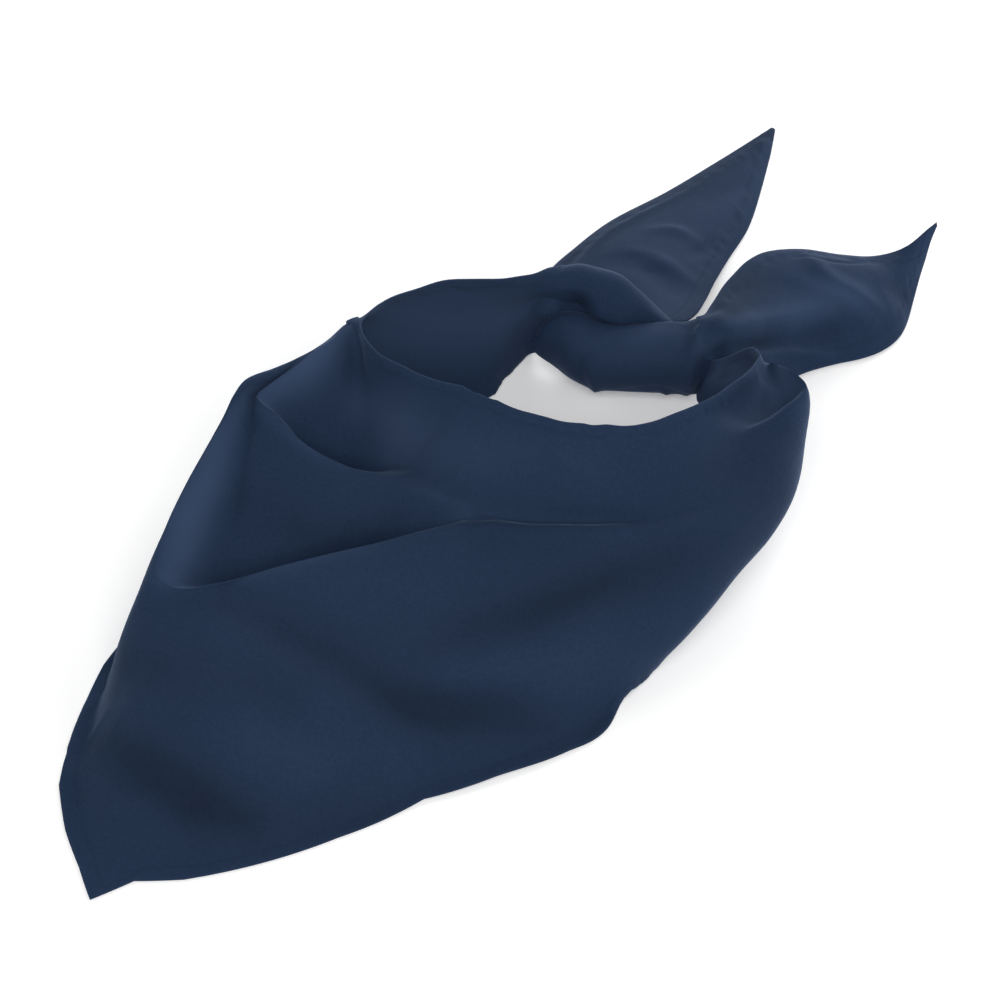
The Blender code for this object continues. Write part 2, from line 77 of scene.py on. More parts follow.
SECTION_PLACES = ("neck", "well", "back", "crest", "pocket", "rim", "side", "foot", "hem")
SECTIONS = (
    # The band round the left of the neck, from the knot to the left shoulder.
    (-222, 8.2, 6.5, 8, 6.15, 8, 5.75, 8.05, 5.3, 8.3, 4.6, 8.3, 3.7, 8.7, 1.8, 8.8, 0.14, 9.5),
    (-215, 8, 6.7, 7.9, 6.25, 7.9, 5.75, 8, 5.2, 8.25, 4.4, 8.3, 3.5, 8.3, 1.8, 8, 0.14, 8.7),
    (-208, 7.8, 7, 7.85, 6.4, 7.95, 5.75, 8.05, 5, 8.15, 4.2, 8.05, 3.2, 7.7, 1.6, 7.25, 0.14, 7.9),
    (-197, 8.2, 7.3, 8.3, 6.5, 8.3, 5.7, 8.3, 4.9, 8.2, 4, 8, 3, 7.3, 1.6, 6.2, 0.14, 6.9),
    (-186, 8.8, 7.7, 8.9, 6.9, 8.9, 6.1, 8.9, 5.2, 8.7, 4.2, 8.3, 3.1, 7.4, 1.6, 6.1, 0.14, 6.8),
    (-176, 9.3, 7.9, 9.5, 7.2, 9.6, 6.5, 9.6, 5.6, 9.5, 4.6, 9, 3.4, 7.8, 1.7, 6.3, 0.14, 7),
    (-166, 10, 8.2, 10.2, 7.7, 10.3, 7.2, 10.4, 6.6, 10.5, 5.8, 10.1, 4.3, 8.8, 2, 6.9, 0.14, 7.6),
    (-158, 10.4, 8.4, 10.6, 8.1, 10.8, 7.9, 11, 7.7, 11.1, 7.2, 11, 5.9, 9.5, 2.6, 7.6, 0.14, 8.3),
    # The left shoulder, where the two folds of the drape start.
    (-152, 10.6, 8.6, 10.75, 8.3, 10.95, 8.3, 11.2, 8.4, 11.45, 8.2, 11.6, 7.4, 10.2, 3.6, 8.2, 0.14, 8.9),
    (-146, 10.3, 8.8, 10.5, 8, 11, 8, 11.7, 8.4, 12.1, 8.15, 12.5, 7.7, 11.1, 4, 9.2, 0.14, 9.9),
    (-141, 9.9, 9, 10.4, 7.4, 11.4, 7.7, 12.6, 8.45, 13.05, 7.95, 13.4, 8, 12.2, 4.4, 10.1, 0.14, 10.8),
    (-135, 9.2, 9, 10.4, 6.6, 12, 7, 13.8, 8.5, 14.3, 7.8, 14.7, 8.6, 13.7, 4.5, 11.5, 0.14, 12.2),
    (-131, 8.5, 9, 10.5, 6, 12.7, 6.4, 15, 8.5, 15.6, 7.75, 16.2, 9, 15.3, 4.6, 12.7, 0.14, 13.4),
    (-128.4, 8.1, 9, 10.6, 5.5, 13.2, 5.9, 15.7, 8.5, 16.07, 7.69, 16.84, 8.83, 16, 4.6, 13.6, 0.14, 14.3),
    (-125, 7.7, 9, 10.8, 4.9, 13.3, 5.2, 14.9, 7.9, 16.25, 7.43, 17.62, 8.41, 17, 4.6, 15, 0.14, 15.7),
    (-121, 7.2, 9, 10.9, 4.4, 12.9, 4.8, 14.1, 7, 16.8, 6.76, 18.74, 7.97, 18.4, 4.5, 17.2, 0.14, 17.9),
    (-116, 6.6, 9, 10.5, 4.5, 12.1, 4.9, 13.1, 6.45, 17.83, 5.64, 20.45, 7.43, 20.7, 4.4, 20.4, 0.14, 21.2),
    (-112, 6.1, 9, 10.1, 4.8, 11.4, 5.2, 12.3, 6.2, 18.88, 4.7, 22.01, 6.87, 22.9, 4.2, 23.9, 0.14, 24.7),
    (-109, 5.8, 9, 9.7, 5.15, 10.9, 5.5, 11.8, 6.15, 19.85, 4.03, 23.24, 6.25, 24.6, 3.9, 25.9, 0.14, 26.8),
    (-107.5, 5.75, 9, 9.5, 5.3, 10.7, 5.65, 11.6, 6.15, 20.3, 3.71, 23.54, 5.79, 25.4, 3.6, 26.7, 0.14, 27.6),
    # The front, down to the corner of the cloth.
    (-106, 5.7, 9, 9.4, 5.45, 10.6, 5.75, 11.4, 6.1, 20.55, 3.42, 23.29, 5.47, 26.1, 3.3, 27.5, 0.14, 28.4),
    (-103, 5.6, 9, 9.1, 5.75, 10.3, 5.9, 11.1, 6.05, 19.13, 3.08, 22, 5.6, 26.6, 3.4, 29.1, 0.14, 30.1),
    (-99, 5.4, 9, 8.8, 6, 9.9, 5.95, 10.7, 6, 16.03, 3.06, 18.5, 5.8, 26.1, 3.9, 31.3, 0.14, 32.2),
    (-95, 5.3, 9, 8.5, 6.15, 9.6, 6, 10.4, 5.95, 13.6, 3.3, 15.9, 5.8, 25.5, 4, 32.6, 0.14, 33.5),
    (-91.5, 5.2, 9, 8.3, 6.25, 9.3, 6, 10.1, 5.9, 12.4, 3.8, 14.3, 5.8, 24.5, 4, 33.4, 0.14, 34.4),
    (-88.7, 5.1, 9, 8.2, 6.3, 9.1, 6, 9.9, 5.85, 11.6, 4.25, 13.2, 5.8, 23.5, 4, 32.9, 0.14, 35.3),
    (-87.2, 5.1, 9, 8.1, 6.3, 9, 5.95, 9.75, 5.85, 11.2, 4.45, 12.6, 5.75, 23, 3.95, 32.4, 0.14, 33.3),
    (-84, 5.1, 9, 8, 6.3, 8.8, 5.95, 9.5, 5.8, 10.6, 4.85, 11.7, 5.75, 22, 3.9, 31, 0.14, 31.9),
    (-80, 5.1, 9, 7.8, 6.3, 8.6, 5.9, 9.2, 5.75, 10, 5.3, 10.9, 5.75, 20.3, 3.9, 28.8, 0.14, 29.7),
    (-74, 5.1, 9, 7.5, 6.4, 8.3, 5.8, 8.9, 5.5, 9.5, 5.35, 10.4, 5.6, 18, 3.9, 25.5, 0.14, 26.4),
    (-67, 5.1, 9, 7.2, 6.5, 8.1, 5.7, 8.7, 5.3, 9.3, 5.35, 10.3, 5.45, 16, 4, 22.1, 0.14, 23),
    (-59, 5.2, 9, 7.1, 6.5, 7.9, 5.7, 8.6, 5.2, 9.2, 5.3, 10.5, 5.25, 15.4, 3.6, 20.1, 0.14, 21),
    (-50, 5.45, 9, 7.1, 6.6, 7.9, 5.7, 8.5, 5.15, 9.2, 5.3, 11, 5.05, 15.2, 3.4, 18.5, 0.14, 19.3),
    (-43, 5.6, 9, 7.2, 6.6, 8, 5.8, 8.6, 5.2, 9.3, 5.3, 11.5, 4.9, 15.2, 2.9, 17.1, 0.14, 17.9),
    # The right side, which rounds away and tucks under.
    (-39, 5.7, 9, 7.3, 6.7, 8.1, 5.8, 8.7, 5.25, 9.5, 5.35, 11.8, 4.85, 15.2, 2.3, 16.4, 0.6, 16.2),
    (-35, 5.8, 8.9, 7.4, 6.7, 8.2, 5.9, 8.9, 5.35, 9.7, 5.4, 12, 4.8, 15.1, 2, 15.5, 0.14, 14.8),
    (-28, 6, 8.9, 7.6, 6.8, 8.5, 6, 9.2, 5.5, 10, 5.4, 12.3, 4.7, 14.8, 2, 14.2, 0.14, 13.3),
    (-20, 6.3, 8.7, 7.9, 6.9, 8.8, 6.2, 9.6, 5.8, 10.5, 5.6, 12.5, 4.9, 14.2, 2.3, 12.6, 0.14, 11.7),
    (-8, 6.7, 8.5, 8.2, 7.1, 9.2, 6.5, 10.1, 6.15, 11, 5.9, 12.7, 4.9, 13.4, 2.6, 11.3, 0.14, 10.4),
    (5, 7.15, 8.3, 8.4, 7.2, 9.4, 6.7, 10.3, 6.5, 11.3, 6.3, 12.9, 5, 13.3, 3, 10.8, 0.14, 9.8),
    (16, 7.75, 8, 8.8, 7.1, 9.7, 6.8, 10.6, 6.95, 11.7, 6.9, 12.95, 5.4, 13.2, 3.2, 10.6, 0.14, 9.7),
    (24, 8.4, 7.8, 9.4, 6.5, 10.7, 6.4, 11.9, 7.55, 12.6, 6.9, 13.1, 5.1, 12.9, 2.8, 10.8, 0.14, 9.9),
    (31, 8.95, 7.6, 10, 6.2, 11.5, 6.4, 12.75, 7.9, 13.05, 6.9, 13, 5, 12.6, 2.6, 11, 0.14, 10.1),
    (38, 9.7, 7.3, 10.5, 6.2, 11.2, 6.3, 11.95, 7.6, 12.35, 6.8, 12.5, 5, 12.3, 2.6, 11.4, 0.14, 10.6),
    (44, 10.3, 7, 10.75, 6.2, 11.1, 6.2, 11.5, 6.8, 11.75, 6.2, 11.9, 4.6, 11.8, 2.3, 11.6, 0.14, 10.9),
)
# Where the band on the right turns back in to the knot, its far wall shows from inside.
TURN_BACK = (
    # x, y, up of each place of a section
    (6.8, 8.2, 6.75, 6.95, 8.4, 6.2, 7.1, 8.6, 5.8, 7.3, 8.9, 5.6, 7.4, 9.1, 4.9,
     7.4, 9.1, 3.9, 7.3, 9, 2.2, 7.1, 8.8, 0.8, 6.8, 8.5, 0.3),
    (6.1, 8.7, 6.2, 6.15, 8.85, 5.6, 6.2, 9, 5.1, 6.25, 9.1, 4.6, 6.25, 9.1, 4,
     6.2, 9.05, 3.2, 6.1, 8.95, 2, 6, 8.8, 0.9, 5.8, 8.6, 0.4),
    (5.3, 8.9, 5.3, 5.3, 9, 4.8, 5.3, 9.05, 4.3, 5.25, 9.1, 3.8, 5.2, 9.1, 3.2,
     5.1, 9.05, 2.5, 5, 9, 1.7, 4.9, 8.9, 0.9, 4.8, 8.8, 0.5),
    (4.6, 9, 4.4, 4.55, 9.05, 4, 4.5, 9.1, 3.5, 4.45, 9.1, 3, 4.35, 9.1, 2.5,
     4.2, 8.85, 2, 4.05, 8.6, 1.5, 3.95, 8.4, 1, 3.9, 8.4, 0.6),
    (3.9, 9.1, 3.6, 3.85, 9.1, 3.2, 3.8, 9, 2.8, 3.65, 8.9, 2.4, 3.5, 8.75, 2,
     3.4, 8.6, 1.6, 3.3, 8.4, 1.2, 3.3, 8.3, 0.9, 3.3, 8.3, 0.6),
    (3.1, 9.4, 2.8, 3.05, 9.45, 2.5, 3, 9.5, 2.3, 2.9, 9.55, 2.1, 2.8, 9.6, 1.9,
     2.75, 9.6, 1.7, 2.7, 9.6, 1.5, 2.7, 9.6, 1.4, 2.7, 9.6, 1.2),
)
# Where the band on the left runs on over the knot, and dives behind it.
OVER_KNOT = (
    (-0.9, 11.2, 1.6, -0.6, 11, 2, -0.2, 10.8, 2.2, 0.1, 10.5, 2.2, 0.2, 10.3, 2,
     0.1, 10.3, 1.7, -0.1, 10.5, 1.5, -0.3, 10.7, 1.4, -0.5, 10.9, 1.4),
    (-1.9, 10.6, 2.6, -1.5, 10.4, 3.2, -1, 10, 3.6, -0.5, 9.6, 3.5, -0.4, 9.4, 3.1,
     -0.5, 9.5, 2.8, -0.8, 9.8, 2.5, -1.1, 10.1, 2.3, -1.4, 10.3, 2.3),
    (-2.7, 9.9, 3.3, -2.3, 9.7, 4.4, -1.7, 9.2, 4.95, -1.2, 8.7, 4.6, -1.1, 8.4, 3.9,
     -1.3, 8.6, 3.4, -1.6, 8.9, 3.1, -1.9, 9.2, 2.9, -2.2, 9.5, 2.8),
    (-3.7, 9.6, 3.8, -3.3, 9.4, 5.1, -2.6, 8.7, 5.85, -1.9, 7.9, 5.2, -1.6, 7.5, 4.1,
     -1.9, 7.8, 3.7, -2.3, 8.3, 3.4, -2.7, 8.7, 3.2, -3, 9, 3.1),
    (-4.7, 9, 4.2, -4.4, 8.8, 5.4, -3.6, 8, 6.25, -2.9, 7.2, 5.6, -2.6, 6.8, 4.4,
     -2.9, 7.1, 4, -3.2, 7.5, 3.7, -3.5, 7.9, 3.5, -3.9, 8.3, 3.3),
    (-5.6, 7.9, 4.8, -5.3, 7.8, 5.9, -4.7, 7.1, 6.5, -4.15, 6.5, 5.9, -4.4, 6.8, 4.7,
     -4.3, 6.4, 4.3, -4.4, 6.3, 3.4, -4.6, 6.4, 2.2, -4.8, 6.6, 1.4),
    (-5.8, 6.9, 6, -5.5, 6.6, 6.4, -5.15, 6.15, 6.4, -4.9, 5.9, 5.85, -5.1, 6.1, 5,
     -4.85, 5.5, 4.2, -4.8, 5.4, 3, -5, 5.6, 1.6, -5.2, 5.8, 0.9),
)
BAND_END = -219.5       # heading where the band on the left runs on over the knot
TURN_START = 47         # heading where the band on the right turns back
SEWN_PAST_BAND = 40     # how far past both the hems are stitched, in labels of rows
SEWN_PAST_TURN = 30
HEM_ROUNDS = -59.0      # heading past which the line of the hem is a smooth curve
TABLE_CLOTH = 0.14      # height of the outer face of the cloth where it lies on the table, in cm

# How sharp the folds are along their crests and the bottom of the pocket: 0 is smooth, 1 creased.
CRISPNESS = (
    # heading, crest, pocket, rim
    (-158, 0, 0, 0),
    (-146, 0.5, 0.3, 0.2),
    (-131, 0.8, 0.8, 0.5),
    (-116, 0.7, 0.9, 0.6),
    (-106, 0.5, 0.9, 0.6),
    (-95, 0.4, 0.7, 0.4),
    (-84, 0.2, 0.6, 0.2),
    (-70, 0.1, 0.5, 0.1),
    (-50, 0, 0.2, 0),
    (16, 0, 0, 0),
    (24, 0.3, 0, 0),
    (31, 0.7, 0, 0),
    (38, 0.6, 0, 0),
    (44, 0.2, 0, 0),
)

HEM_LINES = (0.0, 0.11, 0.35, 0.6, 0.76, 0.86, 0.95, 1.06, 1.3)  # parts of a hem's width from its edge
FOLD_LINES = (0.7, 1.7, 3.2)                                    # mm to each side of a fold
NECK_TO_CREST = 17      # steps of the grid between the hem lines and the folds
CREST_TO_POCKET = 6
POCKET_TO_RIM = 6
RIM_TO_HEM = 42
COLUMN_SPACING = 3.0    # mm between two sections, at most
DENSE = 14              # points between two places of a section, before it is evened out

HEADINGS = np.array([row[0] for row in SECTIONS], float)
PLACES = np.array([[*row[1:], TABLE_CLOTH] for row in SECTIONS], float)     # out and up of each place
CREASED = [SECTION_PLACES.index(place) for place in ("crest", "pocket", "rim")]
FOOT = SECTION_PLACES.index("foot")


def placed(x, y, up):
    """A point given in cm about the neck opening, as a point of the finished part."""
    return np.array((x - FOOTPRINT_MIDDLE[0], y - FOOTPRINT_MIDDLE[1], up)) * CM


def run_of(points):
    """How far along a line each of its points lies."""
    return np.concatenate([[0.0], np.cumsum(np.linalg.norm(np.diff(points, axis=0), axis=1))])


def read_along(run, points, wanted):
    """The points of a line at the wanted distances along it."""
    return np.stack([np.interp(wanted, run, values) for values in np.transpose(points)], axis=-1)


def slopes(at, values):
    """The slope of a smooth curve at each of its points."""
    steps = np.diff(at)
    chords = np.diff(values, axis=0) / steps[:, None]
    inner = chords[:-1] * steps[1:, None] + chords[1:] * steps[:-1, None]
    return np.vstack([chords[:1], inner / (steps[1:] + steps[:-1])[:, None], chords[-1:]])


def hermite(t, step, low, leave, high, arrive):
    """A smooth curve over one step, from a value to the next, with these slopes at its ends."""
    return (
        (2 * t**3 - 3 * t**2 + 1) * low
        + (t**3 - 2 * t**2 + t) * step * leave
        + (3 * t**2 - 2 * t**3) * high
        + (t**3 - t**2) * step * arrive
    )


def smooth_between(at, values, wanted):
    """A smooth curve through the values, read at the wanted places."""
    slope = slopes(at, values)
    low = np.clip(np.searchsorted(at, wanted, side="right") - 1, 0, len(at) - 2)
    step = (at[low + 1] - at[low])[:, None]
    t = (wanted - at[low])[:, None] / step
    return hermite(t, step, values[low], slope[low], values[low + 1], slope[low + 1])


def section_at(wanted):
    """The places of the sections at the wanted headings: smooth, but straight along the hem."""
    found = smooth_between(HEADINGS, PLACES, wanted)
    straight = wanted < HEM_ROUNDS
    for column in range(2 * FOOT, PLACES.shape[1]):
        found[straight, column] = np.interp(wanted[straight], HEADINGS, PLACES[:, column])
    return found.reshape(len(wanted), len(SECTION_PLACES), 2)


def dense_section(points, crisp):
    """A curve through the places of a section, creased by this much at each."""
    steps = np.maximum(np.linalg.norm(np.diff(points, axis=0), axis=1), 1e-6)
    at = np.concatenate([[0.0], np.cumsum(np.sqrt(steps))])
    spans = np.diff(at)
    tangents = slopes(at, points)
    t = np.linspace(0, 1, DENSE, endpoint=False)[:, None]
    curve = []
    for i in range(len(points) - 1):
        chord = (points[i + 1] - points[i]) / spans[i]
        leave = tangents[i] * (1 - crisp[i]) + chord * crisp[i]
        arrive = tangents[i + 1] * (1 - crisp[i + 1]) + chord * crisp[i + 1]
        curve.append(hermite(t, spans[i], points[i], leave, points[i + 1], arrive))
    return np.vstack([*curve, points[-1:]])


def evened(curve, anchors, counts, hem_widths):
    """The section with its points set close together at both hems and at the folds, and evenly between."""
    run = run_of(curve)
    total = run[-1]
    first, last = np.outer(hem_widths, HEM_LINES) * MM * min(1.0, total / (4 * SIDE_HEM * MM))
    stops = [first[-1], *[run[anchor * DENSE] for anchor in anchors], total - last[-1]]
    marks = list(first)
    for number, (low, high, count) in enumerate(zip(stops, stops[1:], counts)):
        close = np.array(FOLD_LINES) * MM * min(1.0, (high - low) / (4 * FOLD_LINES[-1] * MM))
        start = close if number > 0 else np.zeros(0)
        end = close[::-1] if number < len(counts) - 1 else np.zeros(0)
        inner_low = low + (start[-1] if len(start) else 0.0)
        inner_high = high - (end[0] if len(end) else 0.0)
        marks += [*(low + start), *np.linspace(inner_low, inner_high, count + 1)[1:], *(high - end[1:])]
        if len(end):
            marks.append(high)
    return read_along(run, curve, [*marks, *(total - last[::-1][1:])])


def drape_headings(first, last):
    """Headings close enough together at the neck edge and along the hem, through those of the table."""
    rows = [first, *[heading for heading in HEADINGS if first < heading < last], last]
    found = [first]
    for low, high in zip(rows, rows[1:]):
        tries = np.linspace(low, high, 5)
        lengths = np.linalg.norm(np.diff(places_at(tries), axis=0), axis=2).sum(0)
        count = max(1, math.ceil(lengths.max() / (COLUMN_SPACING * MM)))
        found += list(low + (high - low) * (np.arange(count) + 1) / count)
    return np.array(found)


def places_at(headings):
    """The named places of the sections at these headings, as points."""
    angle = np.radians(headings)[:, None]
    out, up = np.moveaxis(section_at(headings), -1, 0)
    return np.stack(placed(out * np.cos(angle), out * np.sin(angle), up), axis=-1)


def run_on(rows, keep, spacing):
    """Sections between those of a short list, in smooth curves, for the first rows of it up to keep."""
    rows = np.asarray(rows)
    steps = np.linalg.norm(np.diff(rows, axis=0), axis=2)
    at = np.concatenate([[0.0], np.cumsum(steps.mean(axis=1))])
    found = [0.0]
    for low, high, step in list(zip(at, at[1:], steps.max(axis=1)))[:keep]:
        count = max(1, math.ceil(step / spacing))
        found += list(low + (high - low) * (np.arange(count) + 1) / count)
    flat = smooth_between(at, rows.reshape(len(rows), -1), np.array(found))
    return flat.reshape(len(found), *rows.shape[1:]), np.interp(found, at, np.arange(len(rows)))


def drape_grid():
    """The cloth round the neck as a grid of points, a row for each section, and where each row lies."""
    headings = drape_headings(BAND_END, TURN_START)
    middle = places_at(headings)
    over, turn = (
        np.array([[placed(*place) for place in np.reshape(row, (-1, 3))] for row in table])
        for table in (OVER_KNOT, TURN_BACK)
    )
    before = places_at(np.array([BAND_END, BAND_END + 5.0, BAND_END + 10.0]))
    start, start_at = run_on([*over, *before], len(over), COLUMN_SPACING * MM)
    after = places_at(np.array([TURN_START, TURN_START - 4.0, TURN_START - 8.0]))
    end, end_at = run_on([*turn[::-1], *after], len(turn), COLUMN_SPACING * MM)
    # A row's label is its heading. Past both ends it counts on by 10 for each row of the tables.
    labels = np.concatenate([
        BAND_END - 10 * (len(over) - start_at[:-1]),
        headings,
        TURN_START + 10 * (len(turn) - end_at[::-1][1:]),
    ])
    places = np.concatenate([start[:-1], middle, end[::-1][1:]])
    crispness = np.array(CRISPNESS)
    sharp = read_along(crispness[:, 0], crispness[:, 1:], labels)
    counts = (NECK_TO_CREST, CREST_TO_POCKET, POCKET_TO_RIM, RIM_TO_HEM)
    rows = []
    for section, edges in zip(places, sharp):
        crisp = np.zeros(len(section))
        crisp[CREASED] = edges
        rows.append(evened(dense_section(section, crisp), CREASED, counts, (NECK_HEM, SIDE_HEM)))
    return np.array(rows), labels


# ---- Sheets ----

BAND_STEP = 3.0         # mm between two points along the line of a fold
CREASE_FALL = 2.2       # how fast a creased fold falls away to its sides
CREASE_TIP = 0.1        # how round its top is, as a part of its width
# Painted light and shade in the cloth's colour, from how far its folds raise or press it.
PAINTED_LIGHT_OF_LIFT = 0.03     # painted highlight for each mm that a fold raises the cloth, painted shade for each mm it presses in
PAINTED_LIGHT_LIMITS = (0.6, 2.0)
LAYOUT_STEP = 4         # rows and columns from one point of the unwrapped copy to the next


def new_object(name, data):
    obj = bpy.data.objects.new(name, data)
    bpy.context.scene.collection.objects.link(obj)
    return obj


def unit(vectors):
    return vectors / np.maximum(np.linalg.norm(vectors, axis=-1, keepdims=True), 1e-12)


def normals_of(grid):
    """The normal at each point of a grid, on the side that faces up and out."""
    return unit(np.cross(np.gradient(grid, axis=1), np.gradient(grid, axis=0)))


def run_along(grid, axis):
    """How far each point lies along its row or column, in metres."""
    steps = np.linalg.norm(np.diff(grid, axis=axis), axis=2)
    start = np.zeros_like(steps[:1] if axis == 0 else steps[:, :1])
    return np.concatenate([start, np.cumsum(steps, axis=axis)], axis=axis)


def points_on(grid, labels, marks):
    """The points of a sheet at these marks: a row's label, and cm across from the first edge."""
    across = run_along(grid, 1) / CM
    rows = [np.argmin(np.abs(labels - label)) for label in marks[:, 0]]
    return np.array([read_along(across[row], grid[row], cm) for row, cm in zip(rows, marks[:, 1])])


def nearest_on(line, grid):
    """How far each point of a grid lies from a line, and how far along it, counted in its points."""
    nearest = np.full(grid.shape[:2], np.inf)
    along = np.zeros(grid.shape[:2])
    for k, (start, end) in enumerate(zip(line, line[1:])):
        step = end - start
        t = np.clip(((grid - start) @ step) / max(step @ step, 1e-12), 0, 1)
        distance = np.linalg.norm(grid - start - t[..., None] * step, axis=2)
        closer = distance < nearest
        nearest[closer] = distance[closer]
        along[closer] = k + t[closer]
    return nearest, along


def bands(grid, labels, lines):
    """The sum over a sheet of bands along lines of marks, as wide and as strong as the marks say."""
    total = np.zeros(grid.shape[:2])
    for crease, *marks in lines:
        marks = np.array(marks, float)
        line = points_on(grid, labels, marks[:, :2])
        at = run_of(line)
        wanted = np.linspace(0, at[-1], max(8, int(at[-1] / (BAND_STEP * MM))))
        distance, along = nearest_on(smooth_between(at, line, wanted), grid)
        counted = np.arange(len(wanted))
        width = np.interp(along, counted, np.interp(wanted, at, marks[:, 2]) * MM)
        strength = np.interp(along, counted, np.interp(wanted, at, marks[:, 3]))
        spread = distance / width
        soft = np.exp(-(spread**2))
        sharp = np.exp(-CREASE_FALL * (np.sqrt(spread**2 + CREASE_TIP**2) - CREASE_TIP))
        total += strength * (soft * (1 - crease) + sharp * crease)
    return total


def folded(grid, labels, folds, painted_lines):
    """Raises soft ridges from a sheet and presses troughs into it, and gives the painted light and shade of
    its colour.

    The colour carries painted shade in the troughs and a painted highlight on the ridges, and painted light
    and shade along the given lines.
    """
    lift = bands(grid, labels, folds)
    painted_light = 1 + PAINTED_LIGHT_OF_LIFT * np.clip(lift, -5, 4) + bands(grid, labels, painted_lines) / 100
    return grid + normals_of(grid) * (lift * MM)[..., None], np.clip(painted_light, *PAINTED_LIGHT_LIMITS)


def grid_faces(rows, columns):
    a = np.arange(rows * columns).reshape(rows, columns)[:-1, :-1].ravel()
    return np.stack([a, a + 1, a + columns + 1, a + columns], axis=1)


def rim_faces(rows, columns):
    """The faces that close a sheet between its two sides, all round its border."""
    count = rows * columns
    index = np.arange(count).reshape(rows, columns)
    a = np.concatenate([index[::-1, 0], index[0, 1:-1], index[:, -1], index[-1, -2:0:-1]])
    b = np.roll(a, -1)
    return np.stack([b, a, a + count, b + count], axis=1)


def shell(name, outer, inner, flat, facts):
    """A closed sheet of cloth between two grids of points, with its layout and facts for its material."""
    rows, columns = outer.shape[:2]
    points = np.vstack([outer.reshape(-1, 3), inner.reshape(-1, 3)])
    face = grid_faces(rows, columns)
    faces = np.vstack([face, face[:, ::-1] + rows * columns, rim_faces(rows, columns)])
    mesh = bpy.data.meshes.new(name)
    mesh.from_pydata(points.tolist(), [], faces.tolist())
    mesh.update()
    layer = mesh.uv_layers.new(name="Flat cloth")
    corners = np.zeros(len(mesh.loops), int)
    mesh.loops.foreach_get("vertex_index", corners)
    layout = np.tile(flat.reshape(-1, 2), (2, 1))
    layer.data.foreach_set("uv", layout[corners].astype(np.float32).ravel())
    for fact, values in facts.items():
        attribute = mesh.attributes.new(fact, "FLOAT", "POINT")
        attribute.data.foreach_set("value", np.tile(values.ravel(), 2).astype(np.float32))
    mesh.shade_smooth()
    return new_object(name, mesh)


def flat_layout(grid):
    """Lays the cloth out flat, in metres: a coarse copy is unwrapped, and the rest read from it."""
    rows, columns = grid.shape[:2]
    keep_i = [*range(0, rows - 1, LAYOUT_STEP), rows - 1]
    keep_j = [*range(0, columns - 1, LAYOUT_STEP), columns - 1]
    coarse = grid[np.ix_(keep_i, keep_j)]
    faces = grid_faces(len(keep_i), len(keep_j))
    mesh = bpy.data.meshes.new("layout")
    mesh.from_pydata(coarse.reshape(-1, 3).tolist(), [], faces.tolist())
    obj = new_object("layout", mesh)
    bpy.context.view_layer.objects.active = obj
    obj.select_set(True)
    bpy.ops.object.mode_set(mode="EDIT")
    bpy.ops.mesh.select_all(action="SELECT")
    bpy.ops.uv.unwrap(method="ANGLE_BASED", margin=0.0)
    bpy.ops.object.mode_set(mode="OBJECT")
    corners = np.zeros(len(mesh.loops), int)
    mesh.loops.foreach_get("vertex_index", corners)
    uv = np.zeros(len(mesh.loops) * 2)
    mesh.uv_layers.active.data.foreach_get("uv", uv)
    flat = np.zeros((len(mesh.vertices), 2))
    flat[corners] = uv.reshape(-1, 2)
    flat = flat.reshape(len(keep_i), len(keep_j), 2)
    cloth_area = sum(face.area for face in mesh.polygons)
    a, b = flat[1:, :-1] - flat[:-1, :-1], flat[:-1, 1:] - flat[:-1, :-1]
    flat_area = np.abs(a[..., 0] * b[..., 1] - a[..., 1] * b[..., 0]).sum()
    flat = flat * math.sqrt(cloth_area / max(flat_area, 1e-9))
    bpy.data.objects.remove(obj)
    bpy.data.meshes.remove(mesh)
    wide = np.array([read_along(keep_j, row, range(columns)) for row in flat])
    return np.stack([read_along(keep_i, wide[:, j], range(rows)) for j in range(columns)], axis=1)


def uneven(run, wave, seed):
    """An uneven wave along a run, between about -1 and 1."""
    heights = [noise.noise(Vector((value / wave, seed, 0.37))) * 1.8 for value in np.ravel(run)]
    return np.reshape(heights, np.shape(run))


# ---- Materials ----

NAVY = (0.0105, 0.0247, 0.0573, 1.0)
NAVY_WORN = (0.0178, 0.0354, 0.0777, 1.0)
# Painted highlight: the lighter colour that the painted light mixes in.
NAVY_PAINTED_HIGHLIGHT = (0.0375, 0.0635, 0.1260, 1.0)
SHEEN = (0.38, 0.52, 0.85, 1.0)
THREAD_DEEP = (0.0115, 0.0265, 0.0610, 1.0)
THREAD_LIGHT = (0.0175, 0.0350, 0.0780, 1.0)
FLOOR = (0.9, 0.9, 0.9, 1.0)
WHITE = (1.0, 1.0, 1.0, 1.0)
THREAD = 0.00038        # spacing of the weave's threads


